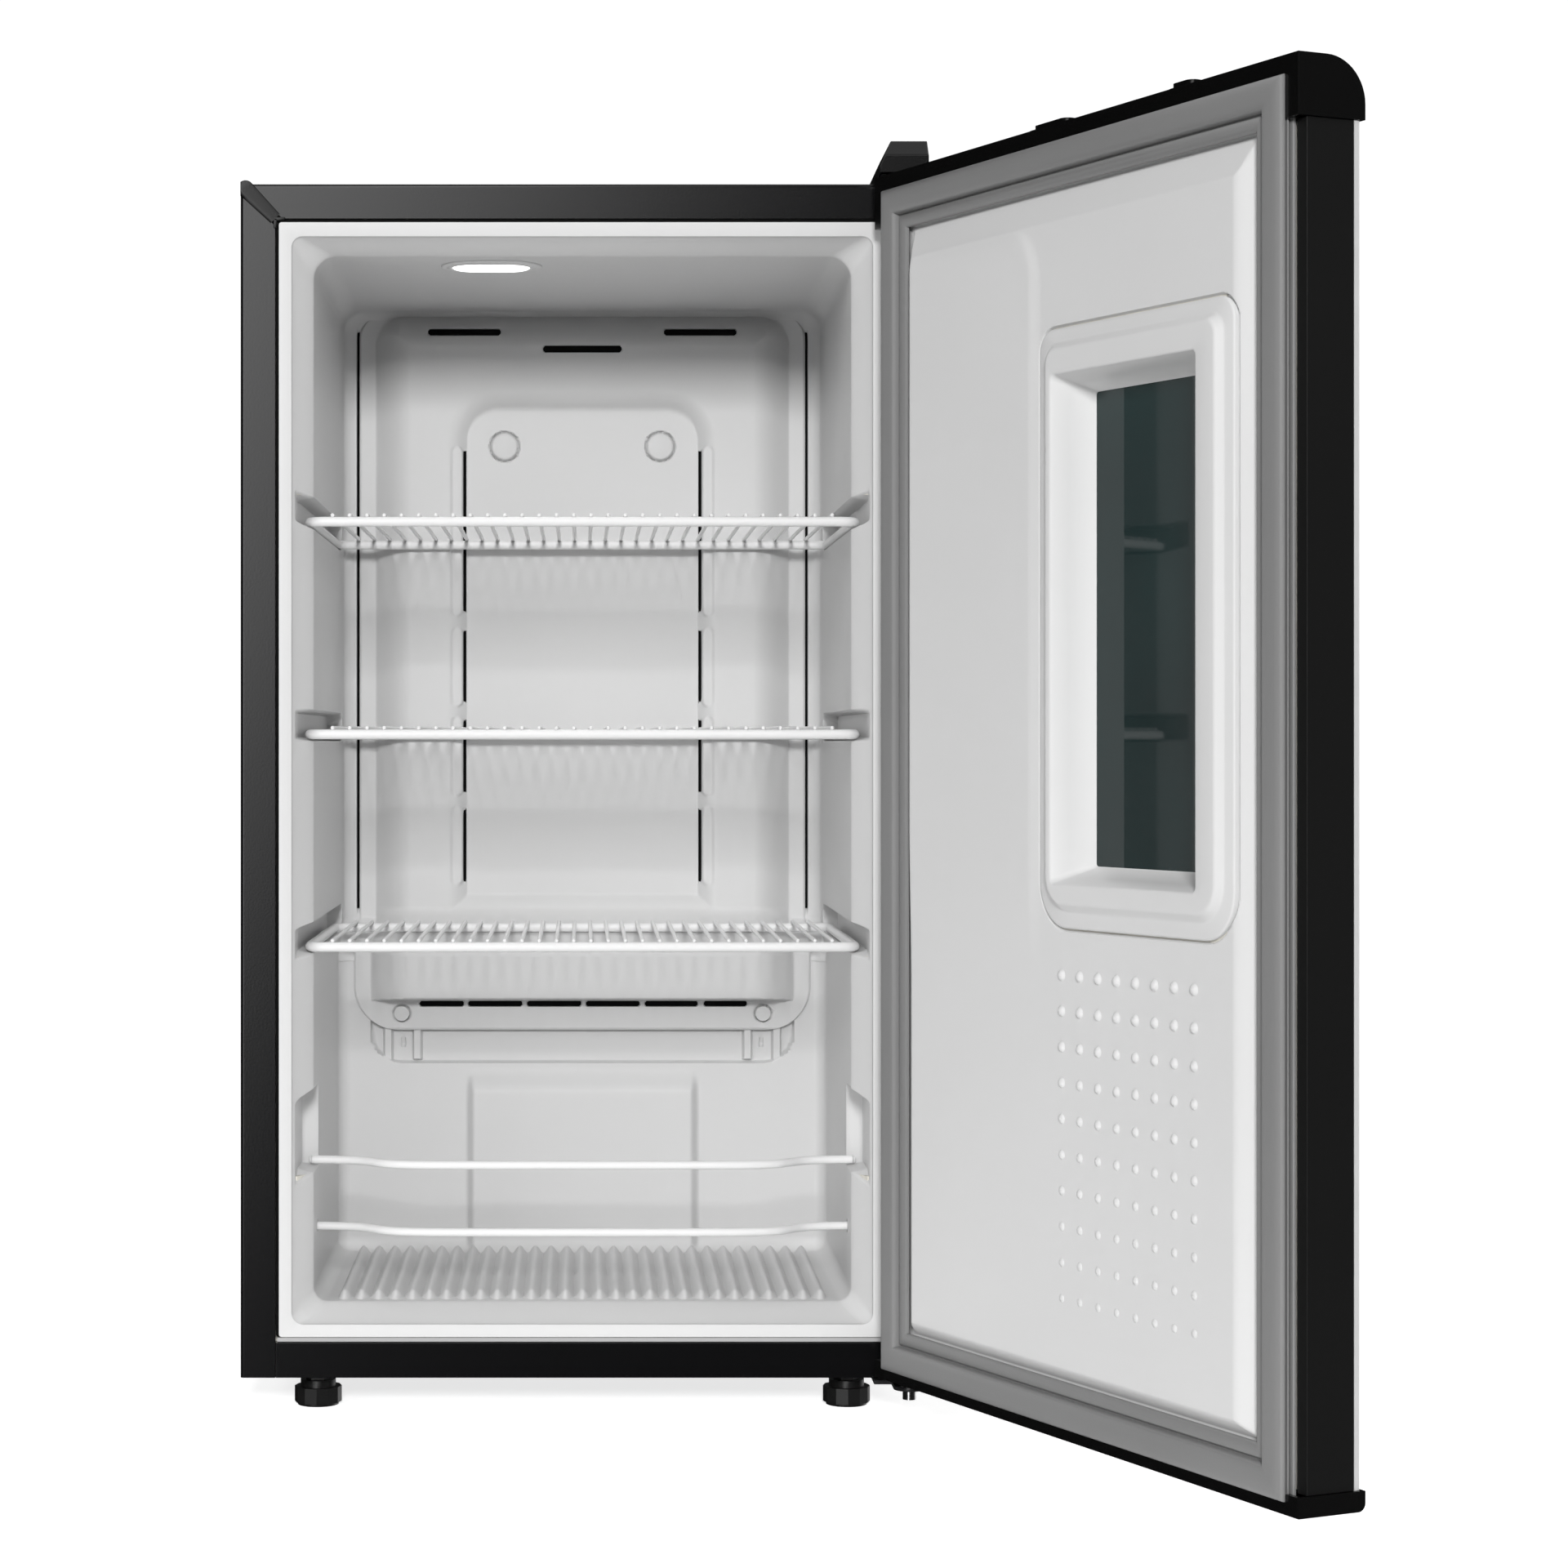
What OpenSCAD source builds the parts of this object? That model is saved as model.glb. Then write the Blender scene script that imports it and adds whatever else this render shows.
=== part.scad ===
// Undercounter refrigerator: insulated cabinet, swinging windowed door, wire shelves and a cooling unit.
// Millimetres, +Z up, +Y from the door side to the rear. The origin is on the floor, on the centre line,
// level with the front face of the cabinet. The door is drawn closed and then swung open.

/* [Cabinet] */
// outside width of the steel cabinet
cab_w = 480; // [420:1:560]
// outside depth of the steel cabinet
cab_d = 455; // [420:1:520]
// height of the steel cabinet
cab_h = 838; // [700:1:900]
// height of the cabinet's underside above the floor
cab_z = 24.6; // [20:0.1:40]
// sheet steel thickness
steel = 0.8; // [0.6:0.1:1.2]
// width of the folded front border
border_w = 24.5; // [20:0.5:32]
// depth of the fold that runs back from the border
fold_d = 9; // [6:0.5:12]
// outside radius of the folds
fold_r = 2.4; // [1:0.1:4]

/* [Liner] */
// wall thickness of the moulded liner
liner_t = 2; // [1.2:0.1:3]
// half width of the main compartment
comp_x = 190.4; // [170:0.1:200]
// floor of the compartment
comp_z0 = 74.5; // [65:0.5:90]
// ceiling of the compartment
comp_z1 = 815; // [700:1:830]
// half width where the liner meets its front lip
mouth_x = 203.8; // [195:0.1:210]
// lower edge of the mouth
mouth_z0 = 62.3; // [55:0.1:70]
// upper edge of the mouth
mouth_z1 = 825.4; // [815:0.1:835]
// depth of the flared mouth
mouth_d = 25; // [10:1:40]
// depth of the compartment below the ledge
low_y = 271; // [240:1:300]
// depth of the compartment above the ledge
high_y = 337; // [300:1:360]
// height where the ledge starts
ledge_z0 = 305; // [280:1:330]
// height where the ledge ends
ledge_z1 = 327; // [300:1:350]
// ridges moulded in the floor
ridges = 29; // [15:1:35]
// spacing of the floor ridges
ridge_pitch = 12.1; // [8:0.1:16]

/* [Shelves] */
// rail centre heights of the three shelves
shelf_z = [626.8, 476.3, 325.8];
// half length of the shelf rails
shelf_x = 197; // [190:0.5:200]
// radius of the shelf rails
rail_r = 3.5; // [2.5:0.1:4.5]
// radius of the shelf wires
wire_r = 1.5; // [1:0.1:2.5]
// number of wires on a shelf
wires = 30; // [16:1:40]
// spacing of the wires
wire_pitch = 12.19; // [8:0.01:20]
// radius of the two bottle guard wires
guard_r = 3; // [2:0.1:4]

/* [Door] */
// angle the door stands open in the drawn position
door_angle = 115; // [0:1:120]
// hinge axis, distance right of the centre line
hinge_x = 227; // [220:0.5:234]
// hinge axis, distance in front of the cabinet
hinge_y = -25; // [-35:0.5:-15]
// underside of the door
door_z0 = 29.6; // [25:0.1:40]
// top of the door
door_z1 = 863; // [800:1:880]
// height of the top end cap
top_cap_h = 36; // [20:1:50]
// height of the bottom end cap
low_cap_h = 12; // [8:1:30]
// radius of the top cap's front edge
cap_r = 27; // [5:1:30]
// thickness of the door from its frame to its front
door_front = -52; // [-70:1:-40]

/* [Hinges] */
// radius of the hinge pins
pin_r = 4; // [3:0.5:5]
// radial clearance between a pin and its bush
pin_gap = 0.05; // [0.02:0.01:0.1]

/* [Feet] */
// distance of each foot from the centre line
foot_x = 188; // [150:1:220]
// distance of the front feet behind the front face
foot_y = 35; // [25:1:60]
// distance of the rear feet behind the front face
rear_foot_y = 425; // [380:1:440]

/* [Hidden] */
$fn = 48;

half_w = cab_w / 2;
cab_top = cab_z + cab_h;
black = [0.05, 0.05, 0.055];
white = [0.9, 0.9, 0.9];
grey = [0.5, 0.5, 0.5];
zinc = [0.65, 0.66, 0.68];
silver = [0.78, 0.78, 0.79];
foam_gap = 0.2;
room_y = 315;
room_z = 262;
coil_x = 150;
coil_y = 392;
coil_z0 = 340;
coil_z1 = 780;
groove_x = 202;
groove_z = [[623, 643], [472.5, 492.5], [322, 342]];
groove_end = 301;
pipe_x = 120;
drain_x = -60;
service_y = 372;
fan_z = 690;
fan_r = 48;

// ---- helpers -------------------------------------------------------------------------------------
module box(x0, x1, y0, y1, z0, z1) translate([x0, y0, z0]) cube([x1 - x0, y1 - y0, z1 - z0]);
module along_x(x0, x1) translate([x0, 0, 0]) rotate([90, 0, 90]) linear_extrude(x1 - x0) children();
module along_y(y0, y1) translate([0, y1, 0]) rotate([90, 0, 0]) linear_extrude(y1 - y0) children();
module along_z(z0, z1) translate([0, 0, z0]) linear_extrude(z1 - z0) children();
module rod_x(r, x0, x1, y, z) translate([x0, y, z]) rotate([0, 90, 0]) cylinder(r = r, h = x1 - x0);
module rod_y(r, y0, y1, x, z) translate([x, y1, z]) rotate([90, 0, 0]) cylinder(r = r, h = y1 - y0);
module rod_z(r, z0, z1, x, y) translate([x, y, z0]) cylinder(r = r, h = z1 - z0);
module both_sides() {
  children();
  mirror([1, 0, 0]) children();
}

// rectangle with round corners: radius ru above, rl below
module rounded(x0, x1, y0, y1, ru, rl) {
  translate([x0, y0 + rl]) square([x1 - x0, y1 - y0 - ru - rl]);
  translate([x0 + rl, y0]) square([x1 - x0 - 2 * rl, rl + 0.01]);
  translate([x0 + ru, y1 - ru - 0.01]) square([x1 - x0 - 2 * ru, ru + 0.01]);
  for (px = [x0 + rl, x1 - rl]) translate([px, y0 + rl]) circle(rl);
  for (px = [x0 + ru, x1 - ru]) translate([px, y1 - ru]) circle(ru);
}

// straight round bar between two points in space
module bar(p, q, r) {
  d = q - p;
  len = norm(d);
  turn = atan2(d[1], d[0]);
  tilt = acos(d[2] / len);
  translate(p) rotate([0, tilt, turn]) cylinder(r = r, h = len);
}

module bent_bar(points, r) {
  for (i = [0 : len(points) - 2]) bar(points[i], points[i + 1], r);
  for (i = [1 : len(points) - 2]) translate(points[i]) sphere(r * 1.03);
}

module swing() translate([hinge_x, hinge_y, 0]) rotate([0, 0, door_angle]) translate([-hinge_x, -hinge_y, 0]) children();

// ---- steel cabinet -------------------------------------------------------------------------------
// section of a folded panel: u runs inward from the outer face, v runs back from the front face
module panel_section() {
  difference() {
    union() {
      translate([fold_r, 0]) square([border_w - fold_r, steel]);
      translate([0, fold_r]) square([steel, cab_d - fold_r]);
      intersection() {
        square([fold_r, fold_r]);
        difference() {
          translate([fold_r, fold_r]) circle(fold_r);
          translate([fold_r, fold_r]) circle(fold_r - steel);
        }
      }
      translate([border_w - steel, 0]) square([steel, fold_d]);
      translate([0, cab_d - steel]) square([12, steel]);
    }
  }
}

// strip along a mitre, from the outer corner inward
module mitre_strip(half, from, to) along_y(-1, to) translate([-half_w, cab_top]) rotate(-45) translate([from, -half])
  square([44, 2 * half]);

module left_shape() {
  difference() {
    intersection() {
      along_z(cab_z, cab_top) translate([-half_w, 0]) panel_section();
      along_y(-1, cab_d + 1) polygon([[-half_w - 1, cab_z - 1], [-half_w + 40, cab_z - 1], [-half_w + 40, cab_top - 40],
        [-half_w - 1, cab_top + 1]]);
    }
    mitre_strip(3.6, -4, fold_d + 0.3);
  }
}

module left_panel() color(black) left_shape();
module right_panel() color(black) mirror([1, 0, 0]) left_shape();

module top_panel() color(black) {
  difference() {
    intersection() {
      along_x(-half_w, half_w) translate([0, cab_top]) rotate(-90) panel_section();
      along_y(-1, cab_d + 1) polygon([[-half_w - 1, cab_top + 1], [-half_w + 40, cab_top - 40],
        [half_w - 40, cab_top - 40], [half_w + 1, cab_top + 1]]);
    }
    both_sides() mitre_strip(3.6, -4, fold_d + 0.3);
  }
}

module trim_section() polygon([for (k = [0 : 16]) [3 - 3.2 * sin(k * 11.25), 3.2 * cos(k * 11.25)],
  [8.8, -3.2], [8.8, 3.2]]);

module corner_trims() color(black) both_sides() {
  intersection() {
    translate([-half_w, 0, cab_top]) rotate([0, 45, 0]) rotate([90, 0, 90]) linear_extrude(44) trim_section();
    box(-half_w + 0.3, -half_w + border_w + 1.2, -2, 9.5, cab_top - border_w - 1.2, cab_top - 0.3);
  }
  box(-216.3, -208.6, -0.1, 0.25, 837.2, 839.4);
  box(-217.4, -214.6, -0.1, 0.25, 831.6, 838.9);
}

module back_panel() color(zinc) {
  difference() {
    box(-238, 238, cab_d, cab_d + steel, room_z + 1, cab_top - 1);
    for (x = [-228, 228], z = [300, 560, 830]) rod_y(1.8, cab_d - 1, cab_d + 2, x, z);
  }
  for (x = [-172.5, 172.5], i = [2, 8])
    box(x - 4, x + 4, cab_d + 0.2, condenser_y - 2.55, run_z + i * run_pitch - 6, run_z + i * run_pitch + 6);
}

module service_holes(grow) {
  rod_z(4 + grow, 200, coil_z0 + 3, pipe_x, service_y);
  rod_z(7 + grow, 200, coil_z0 + 3, drain_x, service_y);
}

module base_pan() color(zinc) {
  difference() {
    union() {
      box(-239.1, 239.1, 9.3, room_y + steel, cab_z, cab_z + steel);
      box(-239.1, 239.1, room_y, room_y + steel, cab_z, room_z + steel);
      box(-239.1, 239.1, room_y, cab_d - 1, room_z, room_z + steel);
    }
    service_holes(0.5);
    for (x = [-foot_x, foot_x]) rod_z(4.05, cab_z - 1, cab_z + 5, x, foot_y);
  }
}

module front_rail() color(black) {
  box(-half_w + border_w + 0.2, half_w - border_w - 0.2, 0, steel, cab_z, 49.3);
  box(-half_w + border_w + 0.2, half_w - border_w - 0.2, 0, fold_d, 49.3 - steel, 49.3);
  box(-half_w + border_w + 0.2, half_w - border_w - 0.2, 0, fold_d, cab_z, cab_z + steel);
}

module sill_strip() color(grey) box(-214.2, 214.2, 0.2, 6, 49.8, 52.8);

// ---- compartment ---------------------------------------------------------------------------------
// the empty space of the compartment, grown outward by t
module mouth(t) {
  intersection() {
    along_z(40, 850) polygon([[-mouth_x - t, -1], [mouth_x + t, -1], [mouth_x + t, 0], [comp_x + t, mouth_d],
      [-comp_x - t, mouth_d], [-mouth_x - t, 0]]);
    along_x(-mouth_x - 9, mouth_x + 9) polygon([[-1, mouth_z0 - t], [0, mouth_z0 - t], [mouth_d, comp_z0 - t],
      [mouth_d, comp_z1 + t], [0, mouth_z1 + t], [-1, mouth_z1 + t]]);
  }
}

module room(t) {
  intersection() {
    along_x(-comp_x - t, comp_x + t) polygon([[mouth_d - 0.5, comp_z0 - t], [low_y + t, comp_z0 - t],
      [low_y + t, ledge_z0 - t], [high_y + t, ledge_z1 - t], [high_y + t, comp_z1 + t],
      [mouth_d - 0.5, comp_z1 + t]]);
    along_y(mouth_d - 0.5, high_y + t + 1) rounded(-comp_x - t, comp_x + t, comp_z0 - t, comp_z1 + t, 16 + t, 8 + t);
  }
}

module grooves(t) {
  for (g = groove_z) {
    box(-groove_x - t, groove_x + t, 4, groove_end, g[0] - t, g[1] + t);
    rod_x((g[1] - g[0]) / 2 + t, -groove_x - t, groove_x + t, groove_end, (g[0] + g[1]) / 2);
  }
}

module guard_seats(t) {
  box(-groove_x - t, groove_x + t, 4, 67 + t, 167 - t, 224 + t);
  rod_x(4.4 + t, -groove_x - t, groove_x + t, 60, 123);
}

module coil_space(t) box(-coil_x - t, coil_x + t, high_y - 1, coil_y + t, coil_z0 - t, coil_z1 + t);
module low_pocket(t) along_y(low_y - 1, low_y + 10 + t) rounded(-165 - t, 165 + t, 221 - t, 303, 2, 24 + t);

module raised_panel(t) along_x(-86 + t, 86 - t) polygon([[low_y - 8 + t, 40], [low_y + 20, 40], [low_y + 20, 216 - t],
  [low_y + t, 216 - t], [low_y - 8 + t, 199 - t]]);

// groove that the evaporator cover's side edges sit beside
module edge_gap(t) both_sides() box(177.6 - t, 181 + t, high_y - 1, high_y + 6 + t, 335 - t, 799 + t);

module space(t) {
  difference() {
    union() {
      mouth(t);
      room(t);
      grooves(t);
      guard_seats(t);
      coil_space(t);
      low_pocket(t);
      edge_gap(t);
    }
    raised_panel(t);
  }
}

module floor_ridges() {
  for (i = [0 : ridges - 1]) {
    x = (i - (ridges - 1) / 2) * ridge_pitch;
    rod_y(3.2, 40, 262, x, comp_z0 - 0.9);
    translate([x, 40.01, comp_z0 - 0.9]) rotate([90, 0, 0]) cylinder(r1 = 3.2, r2 = 0.4, h = 10);
  }
}

module pocket_ribs() {
  both_sides() {
    for (x = [125.6, 148.4]) box(x, x + 6.8, low_y + 0.5, low_y + 11, 218, 262);
    rod_y(5.5, low_y, low_y + 11, 141, 259);
  }
}

module inner_liner() color(white) {
  difference() {
    union() {
      difference() {
        union() {
          box(-214.2, 214.2, 0.3, 0.3 + liner_t, 53.2, 837);
          intersection() {
            space(liner_t);
            box(-214.2, 214.2, 0.3, 420, 53.2, 837);
          }
        }
        space(0);
      }
      intersection() {
        floor_ridges();
        box(-188, 188, 27, 264, comp_z0 - 1.2, comp_z0 + 6);
      }
      pocket_ribs();
    }
    service_holes(0.5);
    both_sides() rod_y(2.15, low_y - 1, low_y + 8, 141, 259);
    both_sides() rod_y(1.8, low_y + 8.8, low_y + 10.5, 140, 235);
    rounded_slot(lamp_x - 27.6, lamp_x + 27.6, lamp_y - 18.3, lamp_y + 18.3, comp_z1 - 1, comp_z1 + liner_t + 1);
  }
}

module rounded_slot(x0, x1, y0, y1, z0, z1) along_z(z0, z1) rounded(x0, x1, y0, y1, (y1 - y0) / 2 - 0.01, (y1 - y0) / 2 - 0.01);

module cabinet_foam() color([0.93, 0.88, 0.68]) {
  difference() {
    union() {
      box(-239, 239, fold_d + 0.5, room_y - foam_gap, cab_z + steel + foam_gap, room_z + 2);
      box(-239, 239, fold_d + 0.5, cab_d - steel - foam_gap, room_z + steel + foam_gap, cab_top - steel - foam_gap);
    }
    space(liner_t + foam_gap);
    service_holes(0.5);
    rounded_slot(lamp_x - 31, lamp_x + 31, lamp_y - 21, lamp_y + 21, comp_z1, comp_z1 + 14);
    for (x = [-foot_x, foot_x]) rod_z(6, cab_z - 1, cab_z + 18, x, foot_y);
    both_sides() box(119, 162, low_y + 2, low_y + 13.5, 214, 266);
  }
}

// ---- evaporator cover ----------------------------------------------------------------------------
cover_y = high_y - 25;
cover_low_y = low_y - 25;
cover_t = 2;

module cover_body(g) {
  intersection() {
    along_z(330, 820) polygon([[-164 + g, high_y + 2], [-136 + g, cover_y + g], [136 - g, cover_y + g],
      [164 - g, high_y + 2]]);
    along_x(-170, 170) polygon([[high_y + g, 809 - g], [cover_y + g, 785 - g], [cover_y + g, 337.9],
      [high_y + g, 337.9]]);
  }
  intersection() {
    along_z(260, 340) polygon([[-164 + g, high_y + 3], [-164 + g, low_y], [-136 + g, cover_low_y + g],
      [136 - g, cover_low_y + g], [164 - g, low_y], [164 - g, high_y + 3]]);
    along_x(-170, 170) polygon([[cover_low_y + g, 270 + g], [cover_low_y + g, 308 - g], [cover_y + g, 338 - g],
      [high_y + g, 338 - g], [high_y + g, 328.2], [low_y - 0.3 + g, 306.2], [low_y - 0.3 + g, 270 + g]]);
  }
}

module recess(g) {
  intersection() {
    along_z(330, 770) polygon([[-107 - g, cover_y - 1], [107 + g, cover_y - 1], [92 + g, cover_y + 12 + g],
      [-92 - g, cover_y + 12 + g]]);
    along_x(-120, 120) polygon([[cover_y - 1, 347 - g], [cover_y - 1, 755 + g], [cover_y + 12 + g, 736 + g],
      [cover_y + 12 + g, 347 - g]]);
    along_y(cover_y - 2, cover_y + 20) rounded(-106 - g, 106 + g, 347 - g, 753 + g, 41 + g, 10);
  }
}

louvre_z = [[571, 706], [499, 562], [428, 491], [357, 420]];
return_slots = [[-127, -92.7], [-89, -47], [-43, -1], [3, 44.5], [49, 90], [95, 128.5]];

module evaporator_cover() color(white) {
  difference() {
    union() {
      difference() {
        union() {
          intersection() {
            along_x(-179.4, 179.4) polygon([[low_y - 2.1, 246], [low_y - 0.1, 246], [low_y - 0.1, 305.3],
              [high_y - 0.1, 327.3], [high_y - 0.1, 814], [high_y - 2.1, 814], [high_y - 2.1, 329.3],
              [low_y - 2.1, 307.3]]);
            along_y(low_y - 10, high_y + 5) rounded(-179.4, 179.4, 246, 814, 20, 34);
          }
          cover_body(0);
        }
        cover_body(cover_t);
      }
      difference() {
        recess(cover_t);
        recess(0);
      }
      both_sides() for (z = louvre_z) along_y(cover_y + 2.5, cover_y + 13) rounded(95, 104, z[0], z[1], 4.4, 4.4);
    }
    difference() {
      recess(0);
      both_sides() for (z = louvre_z) along_y(cover_y + 2.5, cover_y + 13) rounded(95, 104, z[0], z[1], 4.4, 4.4);
    }
    both_sides() for (z = louvre_z) box(92.6, 94.4, cover_y + 6, cover_y + 20, z[0], z[1]);
    both_sides() box(65, 122.5, cover_y - 5, high_y - 3, 793, 797);
    box(-31, 31, cover_y - 5, high_y - 3, 780, 785);
    for (s = return_slots) box(s[0], s[1], low_y - 4, low_y + 2, 266, 269.9);
    both_sides() rod_y(2.15, low_y - 4, low_y + 1, 141, 259);
    both_sides() rod_y(2.15, cover_y + 8, cover_y + 20, 62, 706);
  }
}

module cover_screws() color(silver) {
  both_sides() {
    rod_y(5.7, low_y - 4.6, low_y - 2.1, 141, 259);
    rod_y(2, low_y - 3, low_y + 7, 141, 259);
    rod_y(4.2, cover_y + 9.6, cover_y + 12, 62, 706);
    rod_y(2, cover_y + 11, cover_y + 34, 62, 706);
  }
}

module cover_caps() color(white) {
  both_sides() difference() {
    rod_y(11.7, cover_y + 8.2, cover_y + 12, 62, 706);
    rod_y(4.4, cover_y + 9.4, cover_y + 13, 62, 706);
  }
}

// ---- evaporator and fan --------------------------------------------------------------------------
fin_y0 = 350;
fin_y1 = 386;
fin_z0 = 370;
fin_z1 = 600;
tube_r = 4;
tube_rows = [359, 377];
tube_levels = [390, 435, 480, 525, 570];

module evaporator_fins() color(silver) {
  for (i = [0 : 21]) {
    x = -115.5 + i * 11;
    along_x(x, x + 0.5) difference() {
      translate([fin_y0, fin_z0]) square([fin_y1 - fin_y0, fin_z1 - fin_z0]);
      for (y = tube_rows, z = tube_levels) translate([y, z]) circle(tube_r + 0.05);
    }
  }
}

// half ring of tube in the plane X = x, joining (y0, z0) to (y1, z1)
module return_bend(x, y, z0, z1, side) translate([x, y, (z0 + z1) / 2]) rotate([0, 90 - side * 90, 0])
  rotate([90, 0, 0]) rotate([0, 0, -90]) rotate_extrude(angle = 180) translate([(z1 - z0) / 2, 0]) circle(tube_r);

module evaporator_tube() color([0.75, 0.6, 0.5]) {
  for (y = tube_rows) {
    for (z = tube_levels) rod_x(tube_r, -118, 118, y, z);
    for (i = [0, 2]) return_bend(118, y, tube_levels[i], tube_levels[i + 1], 1);
    for (i = [1, 3]) return_bend(-118, y, tube_levels[i], tube_levels[i + 1], -1);
  }
}

module fan_frame() color(black) {
  difference() {
    box(-58, 58, 362, 388, fan_z - 58, fan_z + 58);
    rod_y(fan_r + 3, 360, 390, 0, fan_z);
    for (x = [-51, 51], z = [-51, 51]) rod_y(2.2, 360, 390, x, fan_z + z);
  }
  for (a = [45, 135]) intersection() {
    rod_y(fan_r + 4, 384, 387, 0, fan_z);
    translate([0, 385.5, fan_z]) rotate([0, a, 0]) cube([2 * fan_r + 10, 3, 8], center = true);
  }
}

module fan_motor() color(grey) {
  rod_y(15, 378, 383.9, 0, fan_z);
  rod_y(1.5, 366, 379, 0, fan_z);
}

module fan_blades() color([0.15, 0.15, 0.16]) {
  difference() {
    union() {
      rod_y(14, 365, 377, 0, fan_z);
      for (a = [0 : 72 : 288]) intersection() {
        translate([0, 371, fan_z]) rotate([0, a, 0]) translate([0, 0, 28]) rotate([0, 0, 32]) cube([36, 1.6, 40], center = true);
        rod_y(fan_r, 363.5, 378, 0, fan_z);
      }
    }
    rod_y(1.5 + pin_gap, 360, 380, 0, fan_z);
  }
}

// ---- lamp ----------------------------------------------------------------------------------------
lamp_x = -65.7;
lamp_y = 74;

module lamp_base() color(white) {
  difference() {
    along_z(comp_z1 - 1.3, comp_z1 - 0.1) translate([lamp_x, lamp_y]) rounded(-36, 36, -30, 30, 29.9, 29.9);
    along_z(comp_z1 - 4, comp_z1 + 2) translate([lamp_x, lamp_y]) rounded(-27.1, 27.1, -17.8, 17.8, 17.7, 17.7);
  }
}

module lamp_lens() color([0.98, 0.98, 0.95]) {
  difference() {
    along_z(comp_z1 - 2.6, comp_z1 + 1.6) translate([lamp_x, lamp_y]) rounded(-26.8, 26.8, -17.5, 17.5, 17.4, 17.4);
    along_z(comp_z1 - 1.3, comp_z1 + 2.6) translate([lamp_x, lamp_y]) rounded(-25, 25, -15.7, 15.7, 15.6, 15.6);
  }
}

module lamp_board() color([0.2, 0.5, 0.3]) {
  box(lamp_x - 19, lamp_x + 19, lamp_y - 6, lamp_y + 6, comp_z1, comp_z1 + 1.4);
  for (i = [-1.5 : 1 : 1.5]) box(lamp_x + i * 9 - 1.7, lamp_x + i * 9 + 1.7, lamp_y - 1.7, lamp_y + 1.7,
    comp_z1 - 0.8, comp_z1);
}

// ---- shelves and bottle guards -------------------------------------------------------------------
shelf_front = 20;
shelf_back = [305, 305, 273];

corner_r = 11;

// quarter turn of rail at a frame corner
module rail_corner(x, y, z, turn) translate([x, y, z]) rotate([0, 0, turn]) rotate_extrude(angle = 90)
  translate([corner_r, 0]) circle(rail_r);

module shelf(k) {
  z = shelf_z[k];
  y0 = shelf_front;
  y1 = shelf_back[k];
  cx = shelf_x - rail_r - corner_r;
  color(white) {
    for (y = [y0, y1]) rod_x(rail_r, -cx, cx, y, z);
    for (s = [-1, 1]) rod_y(rail_r, y0 + corner_r, y1 - corner_r, s * (shelf_x - rail_r), z);
    rail_corner(cx, y1 - corner_r, z, 0);
    rail_corner(-cx, y1 - corner_r, z, 90);
    rail_corner(-cx, y0 + corner_r, z, 180);
    rail_corner(cx, y0 + corner_r, z, 270);
    for (i = [0 : wires - 1]) rod_y(wire_r, y0 - 2.4, y1 + 2.4, (i - (wires - 1) / 2) * wire_pitch, z + rail_r + wire_r - 0.5);
  }
}

module shelf_upper() shelf(0);
module shelf_middle() shelf(1);
module shelf_lower() shelf(2);

// half of a guard wire's line, from the middle to its end: distance from the centre line and depth
guard_line = [[0, 26], [60, 26], [100, 26.6], [118, 28], [130, 30.2], [138, 33.4], [144, 38], [149, 43.6], [154, 49],
  [160, 53.4], [168, 56.6], [180, 58.8], [197, 60]];

module guard_wire(z) color(white) both_sides() for (i = [0 : len(guard_line) - 2]) hull()
  for (k = [i, i + 1]) translate([guard_line[k][0], guard_line[k][1], z]) sphere(r = guard_r, $fn = 20);

module guard_upper() guard_wire(170.6);
module guard_lower() guard_wire(123);

// ---- cooling unit --------------------------------------------------------------------------------
comp_cx = -60;
comp_cy = 386;

module drain_tube() color(grey) {
  difference() {
    union() {
      rod_z(7, 232, coil_z0 + 1.5, drain_x, service_y);
      rod_z(12, coil_z0 + 0.1, coil_z0 + 2, drain_x, service_y);
    }
    rod_z(5.5, 230, coil_z0 + 5, drain_x, service_y);
  }
}

module drip_tray() color(black) {
  difference() {
    box(-125, 5, 335, 440, 206, 228);
    box(-122.5, 2.5, 337.5, 437.5, 208.5, 230);
  }
}

module compressor() color(black) {
  translate([comp_cx, comp_cy, 0]) rotate_extrude() difference() {
    union() {
      translate([0, 46]) square([50, 136]);
      translate([0, 62]) square([56, 104]);
      translate([40, 62]) circle(16);
      translate([40, 166]) circle(16);
      translate([0, 108]) square([58.5, 5]);
    }
    translate([-60, 0]) square([60, 260]);
  }
  difference() {
    box(comp_cx - 78, comp_cx + 78, comp_cy - 40, comp_cy + 40, 42, 46.5);
    for (x = [-66, 66], y = [-30, 30]) rod_z(8.2, 40, 48, comp_cx + x, comp_cy + y);
  }
}

module compressor_plate() color(zinc) {
  difference() {
    union() {
      box(-226, 226, room_y + steel + 0.4, cab_d - 1, cab_z, cab_z + 1.5);
      box(-226, 226, cab_d - 2.5, cab_d - 1, cab_z, 60);
    }
    for (x = [-66, 66], y = [-30, 30]) rod_z(4.2, cab_z - 1, cab_z + 3, comp_cx + x, comp_cy + y);
    rod_y(8.3, cab_d - 4, cab_d + 1, 180, 44);
    for (x = [-foot_x, foot_x]) rod_z(4.2, cab_z - 1, cab_z + 3, x, rear_foot_y);
  }
}

module compressor_grommets() color([0.2, 0.2, 0.2]) {
  for (x = [-66, 66], y = [-30, 30]) difference() {
    union() {
      rod_z(12, cab_z + 1.6, 41.9, comp_cx + x, comp_cy + y);
      rod_z(8, 41, 49, comp_cx + x, comp_cy + y);
      rod_z(11, 46.6, 50, comp_cx + x, comp_cy + y);
    }
    rod_z(4, cab_z, 52, comp_cx + x, comp_cy + y);
  }
}

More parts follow.
